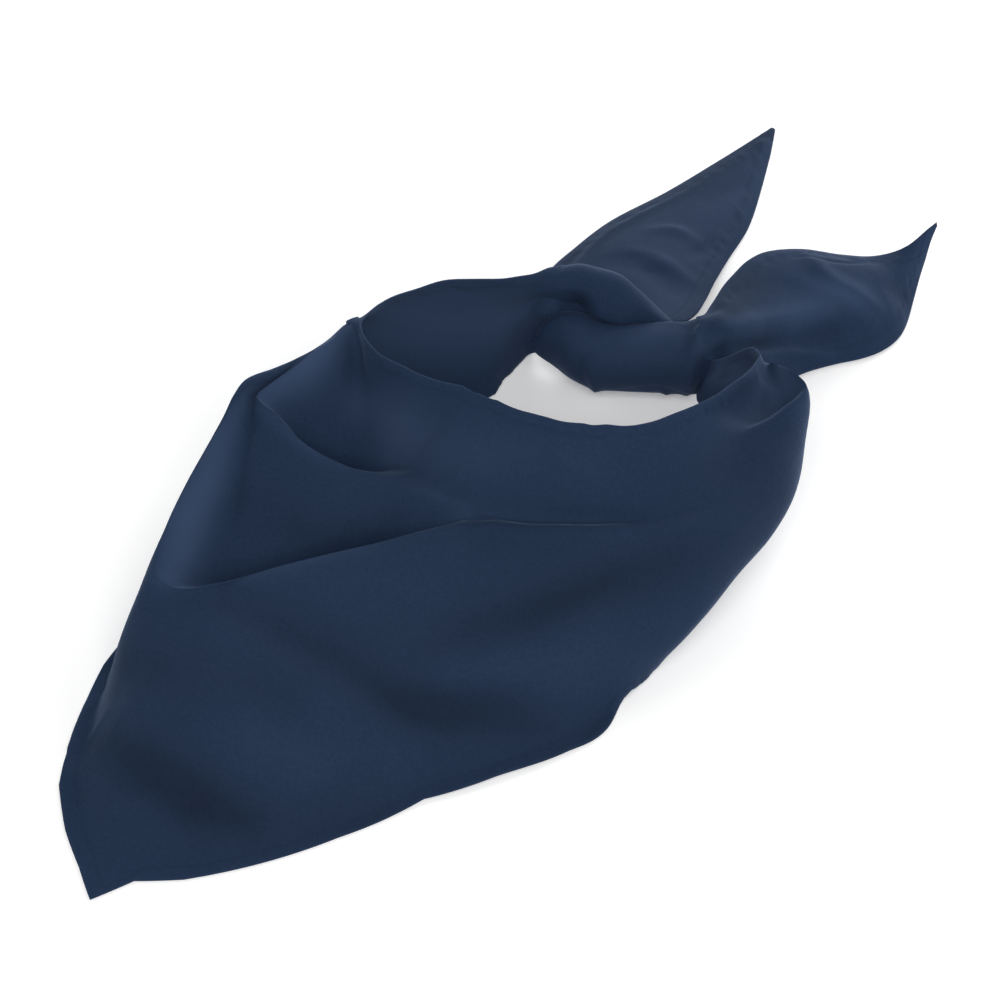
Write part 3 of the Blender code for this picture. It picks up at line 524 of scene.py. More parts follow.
class Nodes:
    """The shader nodes of a material. An input takes a value or the output of another node."""

    def __init__(self, name):
        self.material = bpy.data.materials.new(name)
        self.material.use_nodes = True
        self.tree = self.material.node_tree
        self.shader = self.tree.nodes["Principled BSDF"]

    def feed(self, node, inputs):
        for name, value in inputs.items():
            if isinstance(value, bpy.types.NodeSocket):
                self.tree.links.new(value, node.inputs[name])
            else:
                node.inputs[name].default_value = value

    def add(self, kind, inputs=None, **settings):
        node = self.tree.nodes.new(kind)
        for name, value in settings.items():
            setattr(node, name, value)
        self.feed(node, inputs or {})
        return node

    def fact(self, name):
        return self.add("ShaderNodeAttribute", attribute_name=name).outputs["Fac"]

    def math(self, operation, *values, clamp=False):
        inputs = dict(enumerate(values))
        return self.add("ShaderNodeMath", inputs, operation=operation, use_clamp=clamp).outputs[0]

    def plus(self, first, second, clamp=False):
        return self.math("ADD", first, second, clamp=clamp)

    def times(self, first, second):
        return self.math("MULTIPLY", first, second)

    def noise(self, vector, scale, detail=2.0, roughness=0.5):
        inputs = {"Vector": vector, "Scale": scale, "Detail": detail, "Roughness": roughness}
        return self.add("ShaderNodeTexNoise", inputs).outputs["Fac"]

    def mix(self, share, low, high):
        inputs = {"Factor": share, "A": low, "B": high}
        return self.add("ShaderNodeMix", inputs, data_type="RGBA").outputs["Result"]

    def ramp(self, value, low, high):
        inputs = {"Value": value, "From Min": low, "From Max": high}
        return self.add("ShaderNodeMapRange", inputs).outputs["Result"]

    def on_bias(self, layout, scale):
        """The layout turned to the threads, which run at 45 degrees to the long edge."""
        inputs = {"Vector": layout, "Rotation": (0, 0, math.radians(45)), "Scale": scale}
        return self.add("ShaderNodeMapping", inputs).outputs[0]


def cotton_weave(nodes, layout):
    """The height of a plain weave, warp over weft in turn, from the flat layout of the cloth."""
    split = nodes.add("ShaderNodeSeparateXYZ", {0: nodes.on_bias(layout, (1 / THREAD, 1 / THREAD, 1))})
    u, v = split.outputs[0], split.outputs[1]
    over = nodes.math("PINGPONG", nodes.plus(nodes.math("FLOOR", u), nodes.math("FLOOR", v)), 1.0)
    warp, weft = (nodes.math("ABSOLUTE", nodes.math("SINE", nodes.times(way, math.pi))) for way in (u, v))
    return nodes.plus(nodes.times(warp, over), nodes.times(weft, nodes.math("SUBTRACT", 1.0, over)))


def navy_cotton():
    nodes = Nodes("navy cotton")
    layout = nodes.add("ShaderNodeUVMap", uv_map="Flat cloth").outputs[0]
    where = nodes.add("ShaderNodeTexCoord").outputs["Object"]
    weave = cotton_weave(nodes, layout)
    slub = nodes.noise(nodes.on_bias(layout, (90, 1300, 1)), 1.0)
    blotch = nodes.noise(where, 26.0, 3.0)
    grain = nodes.ramp(nodes.noise(where, 560.0, 2.0, 0.7), 0.32, 0.68)
    threads = nodes.plus(nodes.times(slub, 0.25), nodes.times(grain, 0.5))
    patches = nodes.plus(nodes.times(weave, 0.15), nodes.times(blotch, 0.3))
    rubbed = nodes.times(nodes.ramp(nodes.fact("hem"), 0.15, 0.0), 0.5)
    share = nodes.plus(nodes.plus(threads, patches, clamp=True), rubbed, clamp=True)

    # Painted light: a value under 1 darkens the colour as painted shade, and one over 1 lightens it toward a
    # painted highlight.
    painted_light = nodes.fact("painted_light")
    inputs = {0: nodes.mix(share, NAVY, NAVY_WORN), "Scale": nodes.math("MINIMUM", painted_light, 1.0)}
    colour_with_painted_shade = nodes.add("ShaderNodeVectorMath", inputs, operation="SCALE").outputs[0]
    painted_highlight_share = nodes.math("SUBTRACT", painted_light, 1.0, clamp=True)

    inputs = {"Height": weave, "Strength": 0.35, "Distance": 0.0001}
    fine = nodes.add("ShaderNodeBump", inputs).outputs[0]
    nap = nodes.noise(where, 200.0, 4.0, 0.6)
    inputs = {"Height": nap, "Strength": 0.1, "Distance": 0.0012, "Normal": fine}
    nodes.feed(nodes.shader, {
        "Base Color": nodes.mix(painted_highlight_share, colour_with_painted_shade, NAVY_PAINTED_HIGHLIGHT),
        "Normal": nodes.add("ShaderNodeBump", inputs).outputs[0],
        "Roughness": 0.82,
        "Specular IOR Level": 0.12,
        "Sheen Weight": 0.22,
        "Sheen Roughness": 0.32,
        "Sheen Tint": SHEEN,
    })
    return nodes.material


def navy_thread():
    nodes = Nodes("navy thread")
    twist = nodes.noise(nodes.add("ShaderNodeTexCoord").outputs["Object"], 900.0)
    nodes.feed(nodes.shader, {
        "Base Color": nodes.mix(twist, THREAD_DEEP, THREAD_LIGHT),
        "Roughness": 0.7,
        "Specular IOR Level": 0.12,
    })
    return nodes.material


def pale_floor():
    nodes = Nodes("pale floor")
    nodes.feed(nodes.shader, {
        "Base Color": FLOOR,
        "Roughness": 0.9,
        "Emission Color": WHITE,
        "Emission Strength": 0.25,
    })
    return nodes.material


# ---- Stitches and hems ----


def stitch_line(face, other, width, side):
    """Where the stitches run on one face of a sheet, and which way they lie and face."""
    from_edge = (width - STITCH_IN) * MM
    points, facing = [], []
    for row, behind in zip(face[:, :: 1 - 2 * side], other[:, :: 1 - 2 * side]):
        run = run_of(row)
        points.append(read_along(run, row, from_edge))
        facing.append(read_along(run, row - behind, from_edge))
    points = np.array(points)
    run = run_of(points)
    middles = np.arange(STITCH_PITCH * MM, run[-1] - STITCH_PITCH * MM, STITCH_PITCH * MM)
    at = read_along(run, points, middles)
    along = unit(read_along(run, points, middles + MM) - at)
    out = read_along(run, facing, middles)
    return at, along, unit(out - along * (out * along).sum(1, keepdims=True))


def stitches(name, outer, inner, hem_widths, material):
    """The stitches of a piece's hems, on both faces, as one mesh of short rounded threads."""
    lines = []
    for side, width in enumerate(hem_widths):
        lines.append(stitch_line(outer, inner, width, side))
        lines.append(stitch_line(inner, outer, width, side))
    at, along, out = (np.concatenate(values) for values in zip(*lines))
    clear = at[:, 2] + out[:, 2] * STITCH_RADIUS * MM > STITCH_RADIUS * MM
    at, along, out = at[clear], along[clear], out[clear]
    beside = np.cross(along, out)
    rings = []
    for step, size, lift in STITCH_RINGS:
        middle = at + along * step * STITCH_LENGTH * MM + out * lift * STITCH_RADIUS * MM
        for turn in np.arange(STITCH_SIDES) * 2 * math.pi / STITCH_SIDES:
            radial = out * math.cos(turn) + beside * math.sin(turn)
            rings.append(middle + radial * size * STITCH_RADIUS * MM)
    points = np.stack(rings, axis=1)
    faces = [tuple(range(STITCH_SIDES))]
    for ring in range(len(STITCH_RINGS) - 1):
        for k in range(STITCH_SIDES):
            a, b = ring * STITCH_SIDES + k, ring * STITCH_SIDES + (k + 1) % STITCH_SIDES
            faces.append((a, a + STITCH_SIDES, b + STITCH_SIDES, b))
    faces.append(tuple(range(len(rings) - 1, len(rings) - 1 - STITCH_SIDES, -1)))
    every = [tuple(k + n * len(rings) for k in face) for n in range(len(points)) for face in faces]
    mesh = bpy.data.meshes.new(name)
    mesh.from_pydata(points.reshape(-1, 3).tolist(), [], every)
    mesh.materials.append(material)
    mesh.shade_smooth()
    obj = new_object(name, mesh)
    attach(obj, "root")
    return obj


def hem_profile(share):
    """How far the outer and inner faces lie below the sheet's surface, in mm.

    The share is 0 at an edge and 1 where its hem ends.
    """
    into = np.clip((share - 0.94) / 0.12, 0, 1)
    into = into * into * (3 - 2 * into)
    groove = GROOVE * np.exp(-(((share - 0.87) / 0.09) ** 2))
    rounded = ROUNDING * np.exp(-((share / 0.08) ** 2))
    outer = PAST_HEM * into + groove + rounded
    inner = HEM_THICK * (1 - into) + (PAST_HEM + CLOTH) * into - 0.5 * groove - rounded
    return outer, inner


def puckered(grid, shares):
    """Draws the cloth up in small uneven puckers along the stitches of its hems."""
    normal = normals_of(grid)
    run = run_along(grid, 0)
    lift = np.zeros(grid.shape[:2])
    for side, share in enumerate(shares):
        along = run[:, :1] if side == 0 else run[:, -1:]
        slanted = along + share * PUCKER_SLANT * MM * (1 - 2 * side)
        wave = uneven(slanted, PUCKER_LENGTH * MM, 3.1 + side)
        wave = wave * np.clip(0.7 + 0.9 * uneven(along, PUCKER_CHANGE * MM, 7.7 + side), 0.15, 1.6)
        lift += wave * np.exp(-(((share - 0.9) / 0.4) ** 2))
    return grid + normal * (lift * PUCKER * MM)[..., None]


def cloth_from(name, grid, painted_light, materials, replaced, hem_widths, sewn):
    """Gives a grid of points its hems, thickness and stitches, and makes the piece of cloth.

    Its hems are sewn along the rows that are marked so.
    """
    across = run_along(grid, 1)
    total = across[:, -1:]
    shares = (across / (hem_widths[0] * MM), (total - across) / (hem_widths[1] * MM))
    grid = puckered(grid, shares)
    share = np.minimum(*shares)
    normal = normals_of(grid)
    outer_depth, inner_depth = hem_profile(share)
    outer = grid - normal * outer_depth[..., None] * MM
    inner = grid - normal * inner_depth[..., None] * MM
    outer[..., 2] = np.maximum(outer[..., 2], LEAST_HEIGHT * MM)
    inner[..., 2] = np.maximum(inner[..., 2], 0.0)
    cloth = shell(name, outer, inner, flat_layout(grid), {"hem": share, "painted_light": painted_light})
    cloth.data.materials.append(materials[0])
    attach(cloth, "root")
    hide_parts(*replaced)
    thread = stitches(name.replace("cloth", "stitches"), outer[sewn], inner[sewn], hem_widths, materials[1])
    return cloth, thread


# ---- The drape ----

DRAPE_FOLDS = (
    # How creased, from 0 to 1, then marks: heading, cm from the neck edge, mm wide, mm high.
    # Hollows and swells of the front panel.
    (0, (-104, 20.8, 8, -0.6), (-98, 19.3, 11, -2.4), (-92.4, 18.3, 12, -3.6), (-86, 17.2, 12, -4),
     (-80, 16.4, 12, -4), (-75, 16.4, 12, -4.8), (-69.6, 16.4, 12, -6.2), (-60.8, 15.8, 12, -5),
     (-53, 15.6, 9, -1.6)),
    (0, (-74, 14.4, 8, -1), (-66.4, 12.2, 10, -3.6), (-58, 10.7, 12, -5), (-50.8, 9.5, 13, -5.2),
     (-34.1, 8.1, 13, -4), (-17.8, 7.5, 12, -1.4)),
    (0, (-71, 14.6, 8, 1.2), (-65, 14.2, 9, 2.6), (-60, 13.3, 10, 2.8), (-50, 12.4, 12, 2)),
    (0, (-101, 28.8, 8, -1.2), (-97, 28.2, 12, -4), (-91.5, 27.2, 14, -6), (-87, 26.4, 14, -5.8),
     (-82.5, 25.2, 11, -2.4)),
    (0, (-98.5, 25.8, 9, 1.2), (-93.7, 23.6, 12, 2.6), (-86.4, 22.6, 13, 3.2), (-79, 21.8, 11, 1.8)),
    (0, (-70, 20.3, 12, 1.6), (-58, 18.6, 12, 2), (-46, 16, 10, 1)),
    # The ridges and the tuck beside the left hem.
    (0.4, (-104.9, 26, 3, 0.6), (-105, 28.4, 3, 1.2), (-101.8, 30, 3, 0.8)),
    (0.4, (-101.2, 27.2, 3, 0.5), (-101.5, 28.6, 3, 1), (-101.8, 30, 3, 0.8)),
    (0.5, (-101.5, 30.4, 2.5, -0.8), (-99, 30.8, 2.5, -1.3), (-96.6, 31.1, 2.5, -0.8)),
    # The crease down the upper hollow, and the soft line where both hollows run out to the right.
    (0.6, (-146.5, 0.9, 4, -0.3), (-141.8, 1.7, 5, -1.8), (-132.7, 3.3, 6, -2.2), (-124.6, 5.5, 6, -2),
     (-112, 8, 5, -1)),
    (0.5, (-76.8, 5.6, 4, -1.6), (-62.1, 5.3, 4, -2), (-50, 5, 4, -1.8), (-31.5, 4.9, 5, -1.6),
     (-17.8, 5.1, 6, -1.2), (-5.6, 5.3, 7, -0.6), (5, 5.8, 8, -0.2)),
    (0.1, (-71.8, 6.1, 5, 1.2), (-61.5, 6.1, 5, 1.6), (-50, 5.9, 6, 1.6), (-32.4, 5.7, 6, 1.4),
     (-18.9, 5.9, 7, 0.9), (0, 6.3, 8, 0.3)),
    (0, (-50.8, 1.8, 6, 0.8), (-44.6, 2.2, 7, 1.4), (-39, 2.8, 7, 0.8)),
    # The band on the left, where it turns over the knot.
    (0.1, (-213.6, 4, 7, -0.8), (-220.8, 3.1, 6, -1.8), (-225.8, 2.5, 6, -2.4), (-231.2, 2.9, 6, -2.6),
     (-239.5, 4.4, 5, -2.6)),
    (0.1, (-222, 5.1, 3, 0.8), (-229.5, 3.9, 3.5, 1.6), (-237.8, 4.8, 3, 1.2)),
    # The right of the neck, where it turns back in to the knot.
    (0, (41, 0.7, 3, 0.8), (36.8, 2, 3.5, 1.6), (32.2, 2.7, 4, 1)),
    (0, (29.8, 5.5, 4, 0.8), (26.3, 4.7, 5, 1.5), (24, 3.9, 6, 1.2), (19, 2.9, 7, 0.5)),
    # The far sides.
    (0, (-212, 5.6, 7, -0.6), (-196, 6.4, 9, -1.6), (-180, 7.4, 9, -1.2), (-168, 8.6, 8, -0.5)),
    (0, (-204, 7.6, 6, 0.6), (-190, 8.2, 7, 1.4), (-176, 9.2, 7, 0.8)),
    (0, (-150, 10.4, 7, -0.8), (-138, 12.4, 8, -2), (-127, 14.8, 8, -1.2)),
    (0, (-36, 12.4, 8, 0.8), (-14, 11.6, 9, 1.8), (6, 10.6, 9, 1.4), (24, 9.6, 8, 0.6)),
    (0, (-24, 14.4, 7, -0.8), (-6, 12.8, 8, -2), (16, 11.4, 8, -1.6), (34, 10.4, 7, -0.8)),
)
DRAPE_PAINTED_LIGHT = (
    # Painted light and shade in the colour: marks as above, with per cent in place of the height.
    (0, (-127.8, 12.3, 6, 25), (-121.9, 14.7, 10, 60), (-116.8, 16.1, 12, 85), (-112.3, 17.7, 14, 95),
     (-109.7, 18.6, 12, 95), (-107.5, 19.7, 9, 65)),
    (0.3, (-127.8, 11, 3, -15), (-123.7, 12.7, 3, -22), (-115.4, 14.3, 4, -25), (-101.8, 18.4, 6, -20)),
    (0, (-149, 1.5, 8, 55), (-141, 4, 14, 90), (-135.9, 6, 15, 95), (-131, 9, 12, 75)),
    (0, (-168, 2.2, 30, 62), (-192, 2.8, 30, 52), (-216.5, 3.2, 24, 64)),
    (0, (-113, 13, 9, -10), (-106, 12, 11, -17), (-99.5, 9.8, 8, -17), (-95, 7.7, 5, -10)),
    (0, (-131, 3.2, 12, 55), (-118, 3.5, 18, 74), (-104.5, 3.6, 18, 38), (-69, 2.2, 16, 18),
     (-38, 2.4, 16, 8)),
    (0.3, (-128.4, 11.2, 4, 30), (-119.1, 10.3, 4, 38), (-108.2, 7.4, 5, 26), (-101.8, 6.1, 6, 22),
     (-91.5, 5.8, 6, 22), (-80, 5.7, 6, 18)),
    (0.3, (-102.7, 18.9, 5, 22), (-96.2, 14.4, 5, 26), (-92.8, 12.4, 5, 24), (-89, 8.3, 5, 20),
     (-76, 5.6, 5, 15), (-60.8, 5, 5, 10), (-37.7, 4.8, 5, 8)),
    (0, (-107, 27.6, 4, 12), (-104, 29, 4, 18), (-100, 30.6, 4, 12)),
    (0, (-100.5, 28.7, 10, -6), (-96, 28, 13, -14), (-92.8, 27.6, 14, -20), (-86.8, 26.5, 14, -24),
     (-82.5, 25.5, 10, -14)),
    (0, (-100.5, 19.4, 9, -6), (-88.5, 17.8, 13, -9), (-80, 16.5, 13, -12), (-73.6, 16.6, 13, -22),
     (-67, 16.2, 12, -20), (-60.2, 15.6, 11, -14), (-52, 16.2, 9, -8)),
    (0, (-72.2, 13.7, 9, -6), (-65.8, 11.5, 11, -10), (-53, 9.8, 13, -14), (-36.3, 8.1, 13, -10),
     (-21.8, 7.3, 11, -5)),
    (0, (-42, 8.4, 20, -6), (-10, 7.5, 24, -12), (10, 7.5, 20, -14), (20, 9, 16, -10)),
    (0, (2, 3.6, 14, -9), (12, 4.6, 14, -13), (22, 5, 12, -13)),
    (0, (46, 3, 10, 50), (38, 2.6, 12, 72), (30, 3.8, 10, 50)),
    (0, (55, 2.6, 14, 90), (80, 2, 14, 100), (97, 1.4, 10, 100)),
    (0, (-84, 27.4, 16, -10), (-74, 22.8, 18, -14), (-56, 18.6, 16, -14), (-45, 16.2, 14, -12)),
    (0, (-103, 25, 14, -14), (-95, 23.4, 16, -18), (-86, 20.4, 14, -10)),
    (0, (-84, 14.6, 12, -3), (-78, 13.4, 14, -6), (-70, 11.4, 12, -3)),
    (0, (-226, 4.6, 6, -20), (-234.5, 4.8, 7, -35), (-242, 4.6, 6, -30)),
)


def drape_cloth(materials):
    grid, labels = drape_grid()
    grid, painted_light = folded(grid, labels, DRAPE_FOLDS, DRAPE_PAINTED_LIGHT)
    replaced = ("front_drape", "left_band", "right_band", "knot_crossing")
    sewn = (labels > BAND_END - SEWN_PAST_BAND) & (labels < TURN_START + SEWN_PAST_TURN)
    cloth, thread = cloth_from("cloth_drape", grid, painted_light, materials, replaced, (NECK_HEM, SIDE_HEM), sewn)


# ---- The tails and the wrap of the knot ----

ARCH = 13               # places across a tail, or round the wrap
TAIL_HEMS = (SIDE_HEM, SIDE_HEM)

TAIL_BACK = (
    # left x, y, up, right x, y, up, crown
    (-3.4, 9.4, 2.5, -0.6, 10.2, 2.6, 0.3),
    (-6, 9, 1.8, -0.1, 11.2, 2.4, 0.5),
    (-8.6, 9.6, 0.8, -0.2, 12.6, 1.9, 0.9),
    (-9.9, 11.5, 0.3, -0.9, 14.6, 1.2, 1.2),
    (-10.1, 14.2, 0.2, -1.6, 16.4, 0.8, 1.3),
    (-10, 17, 0.2, -2.4, 18.8, 0.35, 1.1),
    (-9, 21.6, 0.2, -3.3, 22.2, 0.2, 0.7),
    (-8.4, 25.4, 0.2, -4.8, 25.6, 0.2, 0.4),
    (-7.9, 29, 0.2, -6.5, 29, 0.2, 0.1),
    (-7.7, 30.6, 0.2, -7.4, 30.6, 0.2, 0),
)
# The wrap of the knot is a roll of cloth: its middle, its half-width and half-height in cm, and how
# far round from its top the cloth reaches at the back and at the front, in degrees.
WRAP = (
    # x, y, up, half-width, half-height, back, front
    (-5.25, 4.35, 2.25, 0.12, 0.3, 172, 172),
    (-5.05, 4.65, 2.55, 0.5, 1.05, 174, 174),
    (-4.5, 5.25, 2.65, 1.1, 1.72, 175, 175),
    (-3.5, 5.85, 2.42, 1.7, 2.12, 175, 175),
    (-2.4, 6.35, 2.1, 1.95, 2.05, 175, 175),
    (-1.2, 7.2, 2, 1.98, 1.98, 175, 175),
    (0, 8.1, 1.95, 1.95, 1.95, 175, 175),
    (1, 8.9, 2, 2, 2, 172, 172),
    (1.8, 9.5, 2.1, 2.1, 2.15, 130, 165),
)
TAIL_SIDE = (
    # left x, y, up, right x, y, up, crown
    (0.9, 11, 3.4, 4.1, 8.7, 0.9, 2.35),
    (1.1, 11.4, 3.55, 5, 9.6, 0.9, 2.3),
    (1, 12, 3.6, 5.6, 10.7, 0.9, 2),
    (0.8, 12.9, 3.6, 5.9, 11.8, 0.7, 1.8),
    (0.5, 14, 3.5, 6.1, 13, 0.4, 1.6),
    (0.3, 15.4, 3.4, 6.5, 14.4, 0.25, 1.45),
    (0.2, 16.8, 3.3, 7.3, 15.9, 0.2, 1.4),
    (0.4, 18.2, 3.1, 8.1, 17.1, 0.2, 1.5),
    (1.6, 20, 2.8, 8.7, 18.5, 0.2, 1.6),
    (3.4, 21.6, 2.3, 8.8, 20.2, 0.2, 1.4),
    (4.9, 23.1, 2.05, 8.1, 22.4, 0.2, 0.8),
    (6, 24.6, 2.4, 7.2, 24.7, 0.9, 0.3),
    (6.5, 26, 3.1, 6.8, 25.9, 2.5, 0.05),
    (6.7, 26.3, 3.4, 6.8, 26.25, 3.2, 0),
)


def arched(row):
    """The places across a tail: a chord between its two edges, raised to a crown in the middle."""
    share = np.linspace(0, 1, ARCH)[:, None]
    left, right = placed(*row[0:3]), placed(*row[3:6])
    return left + (right - left) * share + np.array((0, 0, row[6] * CM)) * np.sin(math.pi * share)


def rolled(rows):
    """The places round the wrap, for each of its rows."""
    middles = np.array([placed(*row[:3]) for row in rows])
    up = np.array((0, 0, 1))
    fronts = unit(np.cross(np.gradient(middles, axis=0), up))
    found = []
    for row, middle, front in zip(rows, middles, fronts):
        turn = np.radians(np.linspace(-row[5], row[6], ARCH))[:, None]
        found.append(middle + row[3] * CM * np.sin(turn) * front + row[4] * CM * np.cos(turn) * up)
    return found


def tail_grid(rows, spacing, columns):
    """A tail as a grid of points, with sections this many mm apart, and where each lies in its table."""
    sections, labels = run_on(rows, len(rows) - 1, spacing * MM)
    smooth = np.zeros(ARCH)
    grid = [evened(dense_section(section, smooth), (), (columns,), TAIL_HEMS) for section in sections]
    return np.array(grid), labels


BACK_TAIL_FOLDS = (
    # How creased, then marks: row of the table, cm from the left edge, mm wide, mm high.
    (0, (4.8, 3.6, 5, 0.8), (5, 4.7, 5, 2.2), (5, 6, 5, 0.8)),
    (0, (4.4, 6.9, 4, -0.8), (4.8, 6.8, 4, -1.8), (5.2, 6.4, 4, -0.8)),
    (0, (3.2, 4, 8, -1), (3.2, 6.2, 9, -2.2), (2.7, 7.9, 8, -1)),
    (0, (3.8, 4.4, 5, 0.8), (3.7, 6.3, 6, 1.8), (3.5, 8.5, 5, 1)),
    (0.2, (2, 1.3, 5, 1), (4, 1.4, 5, 1.6), (6, 1.3, 5, 1.4), (8, 0.9, 4, 0.8)),
    (0, (6, 3, 7, -0.6), (6.8, 3, 7, -1.4), (7.6, 2.4, 6, -0.6)),
)
# Painted light and shade in the colour of the tail: marks as above, with per cent in place of the height.
BACK_TAIL_PAINTED_LIGHT = (
    (0, (2.6, 0.8, 12, -18), (4.3, 1, 14, -22), (6, 0.8, 13, -22), (8.5, 0.4, 8, -18)),
    (0, (3.3, 3.6, 4, 10), (3.5, 5.2, 4, 22), (3.9, 6.6, 4, 10)),
    (0, (5.6, 4.4, 10, 8), (7, 3.2, 10, 15), (8, 1.9, 6, 15)),
)
WRAP_AND_TAIL_FOLDS = (
    # How creased, then marks: row of both tables, cm from the left edge, mm wide, mm high.
    # The wrap: its upper band, the pleat at its left end, and the pleats that gather into the tail.
    (0, (4.6, 6, 4, 0.3), (5.1, 5.7, 4, 0.8), (6.4, 4.9, 4, 1), (8.6, 2.6, 4, 0.5)),
    (0.3, (3.9, 7.9, 3, -1), (3.4, 8.5, 3, -2.2), (3.7, 10, 3, -1)),
    (0.2, (4, 9.2, 3, 0.8), (4.1, 10.2, 3, 2.2), (4.1, 11.2, 3, 1.6)),
    (0.2, (6.6, 9.8, 2.5, 0.6), (6.7, 10.6, 2.5, 1.5), (6.8, 11.4, 2.5, 0.8)),
    (0.3, (5.1, 9.9, 2.5, -0.5), (6.4, 9.6, 2.5, -0.8), (7.7, 9.8, 2.5, -0.5)),
    (0.3, (9.9, 3.2, 4, -1), (9.3, 3.9, 4, -1.6), (8.9, 5.3, 4, -1.4), (8.5, 7.6, 3.5, -0.8)),
    (0.2, (8.8, 3.2, 3.5, -0.3), (8.1, 4.2, 4.5, -1.5), (7.6, 5.6, 4.5, -1.4), (7.6, 7.8, 4, -0.6)),
    (0.1, (8, 8.2, 4, 0.8), (8, 6.3, 4, 1.6), (8.3, 4.2, 4, 1.2)),
    (0.1, (9.2, 3.2, 4, 1), (11, 2.8, 5, 2.8), (13.2, 3.6, 6, 3), (15.9, 5.4, 6, 1.2)),
    (0.1, (8.9, 4.2, 4, -1.6), (10, 3.9, 4.5, -3.2), (12.1, 4.5, 5, -3.6), (15.5, 6.5, 6, -1.6)),
    (0.4, (11, 4.6, 2.5, 1), (13.6, 5.9, 3, 2.2), (15, 7.6, 3, 1)),
    # The tail: the turned-over top edge and the ridge that runs down from it.
    (0.1, (16.7, 1.4, 5, 1.2), (16.6, 4, 6, 3.2), (17.1, 4.8, 6, 3.2), (17.5, 5.5, 5, 1.6)),
    (0.5, (16.5, 1.3, 2, -0.6), (17.4, 2, 2, -1), (19.1, 0.6, 2, -0.5)),
    (0, (13.9, 2.2, 8, -0.8), (15.1, 3, 9, -1.6), (15.8, 4.4, 8, -0.8)),
    (0, (18, 3.4, 8, -1.2), (19, 3.2, 8, -1.8), (20, 2.4, 6, -0.8)),
)
# Painted light and shade in the colour of the wrap and tail: marks as above, with per cent in place of the
# height.
WRAP_AND_TAIL_PAINTED_LIGHT = (
    (0, (2.4, 6.5, 16, 8), (4.1, 7.5, 18, 22), (5.6, 7.1, 20, 28), (7.2, 6.8, 20, 28), (8.4, 6, 14, 28)),
    (0, (4, 10.2, 5, 16), (5.6, 9.7, 5, 24), (7.3, 9.2, 5, 24)),
    (0, (9.4, 5.5, 8, 35), (10.5, 6.4, 8, 30)),
    (0.1, (9.9, 3.2, 4, -8), (9.1, 4.6, 4, -12), (8.5, 7.6, 4, -10)),
    (0.1, (9.2, 2.4, 4, -6), (8.1, 3.9, 5, -14), (7.6, 5.6, 5, -14), (7.6, 7.8, 4, -8)),
    (0, (8.9, 4.2, 4, -15), (12.1, 4.4, 5, -26), (15.5, 6.4, 6, -14)),
    (0.1, (9.4, 3.1, 4, 12), (11, 2.8, 5, 22), (13.2, 3.6, 6, 24), (15.9, 5.4, 6, 10)),
    (0.4, (11, 4.6, 2.5, 14), (13.6, 5.9, 2.5, 26), (15, 7.6, 2.5, 18)),
    (0, (14.6, 4.6, 12, 42), (16, 4.8, 12, 62), (17.2, 4.6, 10, 32)),
    (0.1, (15.6, 2.4, 5, 18), (16.2, 4, 5, 40), (16.8, 5.4, 5, 40), (17.2, 6.2, 5, 18)),
    (0, (10.5, 1.5, 12, -26), (12.6, 1.4, 14, -28), (14.4, 1, 12, -20)),
    (0, (20, 1.5, 10, 40), (21.5, 1, 8, 55)),
)
BACK_SEWN = (1.0, 8.85)     # rows of the table between which the tail's hems are stitched
SIDE_SEWN = (8.0, 21.0)     # the same for the other tail, from where the wrap opens into it


def back_tail(materials):
    grid, labels = tail_grid([*map(arched, TAIL_BACK)], spacing=2.2, columns=44)
    grid, painted_light = folded(grid, labels, BACK_TAIL_FOLDS, BACK_TAIL_PAINTED_LIGHT)
    sewn = (labels > BACK_SEWN[0]) & (labels < BACK_SEWN[1])
    cloth, thread = cloth_from("cloth_tail_back", grid, painted_light, materials, ("tail_back",), TAIL_HEMS, sewn)


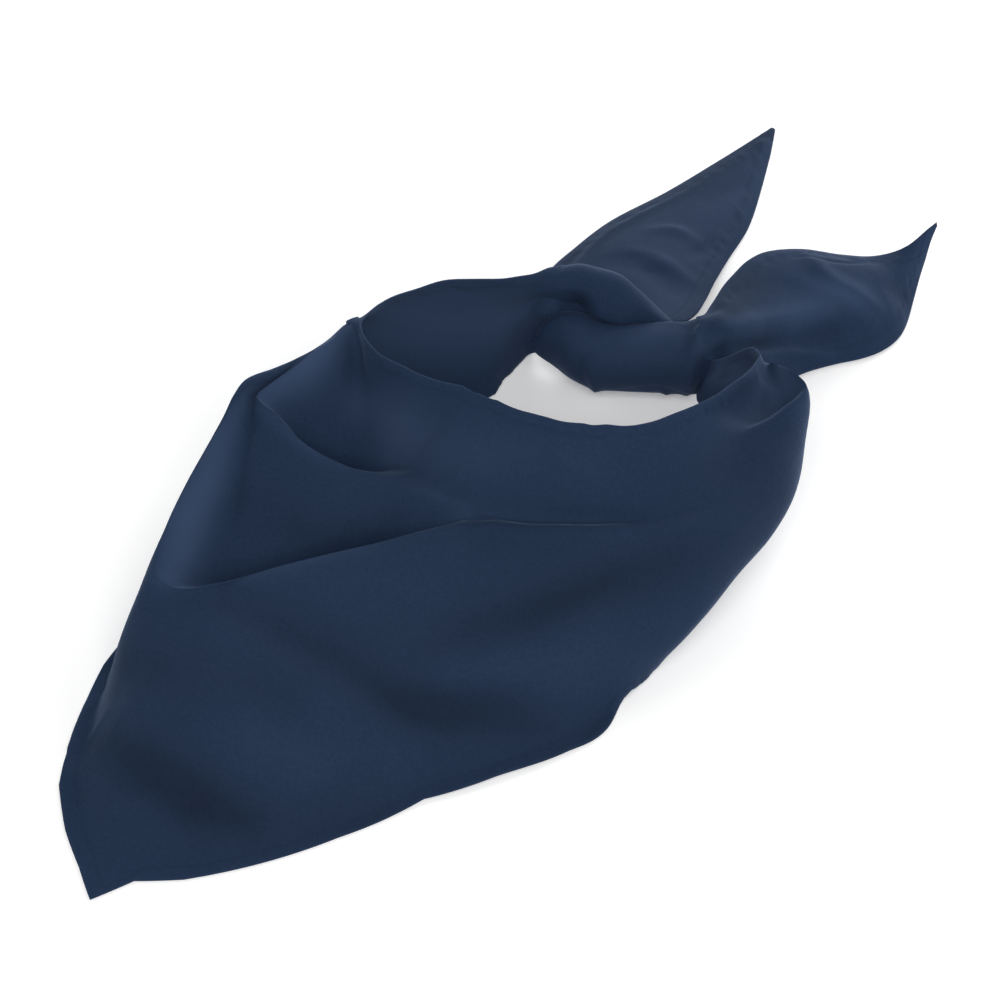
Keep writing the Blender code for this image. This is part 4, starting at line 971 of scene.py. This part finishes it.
def wrap_and_side_tail(materials):
    rows = [*rolled(WRAP), *map(arched, TAIL_SIDE)]
    grid, labels = tail_grid(rows, spacing=2.0, columns=64)
    grid, painted_light = folded(grid, labels, WRAP_AND_TAIL_FOLDS, WRAP_AND_TAIL_PAINTED_LIGHT)
    replaced = ("knot_wrap", "tail_side")
    sewn = (labels > SIDE_SEWN[0]) & (labels < SIDE_SEWN[1])
    cloth, thread = cloth_from("cloth_wrap_and_tail", grid, painted_light, materials, replaced, TAIL_HEMS, sewn)


# ---- Floor, light and camera ----

CAMERA_PLACE = (0.5215, -0.6622, 0.9366)
CAMERA_TARGET = (-0.0032, -0.0369, 0.03)
CAMERA_LENS = 85
FLOOR_SIZE = 40.0
SKY = 0.08              # strength of the even light from all round
LIGHTS = (
    # name, place, width and height in metres, power in watts
    ("softbox above", (0.63, -0.81, 1.23), 1.3, 1.3, 16.7),
    ("low light from behind", (-0.28, 1.57, 0.71), 1.6, 0.9, 27.2),
    ("soft light from the left", (-1.30, -0.75, 0.80), 1.2, 1.2, 8.0),
    ("soft light from the right", (1.42, 0.52, 0.77), 1.2, 1.2, 7.4),
)


def add_floor():
    bpy.ops.mesh.primitive_plane_add(size=FLOOR_SIZE, location=(0, 0, 0))
    floor = bpy.context.object
    floor.name = "floor"
    floor.data.materials.append(pale_floor())


def aimed(obj, place, target):
    """Puts a light or the camera in its place and turns it to its target."""
    obj.location = place
    obj.rotation_euler = (Vector(target) - Vector(place)).to_track_quat("-Z", "Y").to_euler()
    return obj


def add_lights():
    world = bpy.data.worlds.new("studio")
    bpy.context.scene.world = world
    world.use_nodes = True
    background = world.node_tree.nodes["Background"]
    background.inputs["Color"].default_value = WHITE
    background.inputs["Strength"].default_value = SKY
    for name, place, width, height, power in LIGHTS:
        light = bpy.data.lights.new(name, "AREA")
        light.shape = "RECTANGLE"
        light.size = width
        light.size_y = height
        light.energy = power
        aimed(new_object(name, light), place, (0, 0, 0))
    bpy.context.scene.view_settings.view_transform = "Standard"


def add_camera():
    camera = bpy.data.cameras.new("camera")
    camera.lens = CAMERA_LENS
    bpy.context.scene.camera = aimed(new_object("camera", camera), CAMERA_PLACE, CAMERA_TARGET)


for chosen in bpy.context.selected_objects:
    chosen.select_set(False)

add_camera()
cotton_and_thread = (navy_cotton(), navy_thread())
drape_cloth(cotton_and_thread)
back_tail(cotton_and_thread)
wrap_and_side_tail(cotton_and_thread)
add_floor()
add_lights()
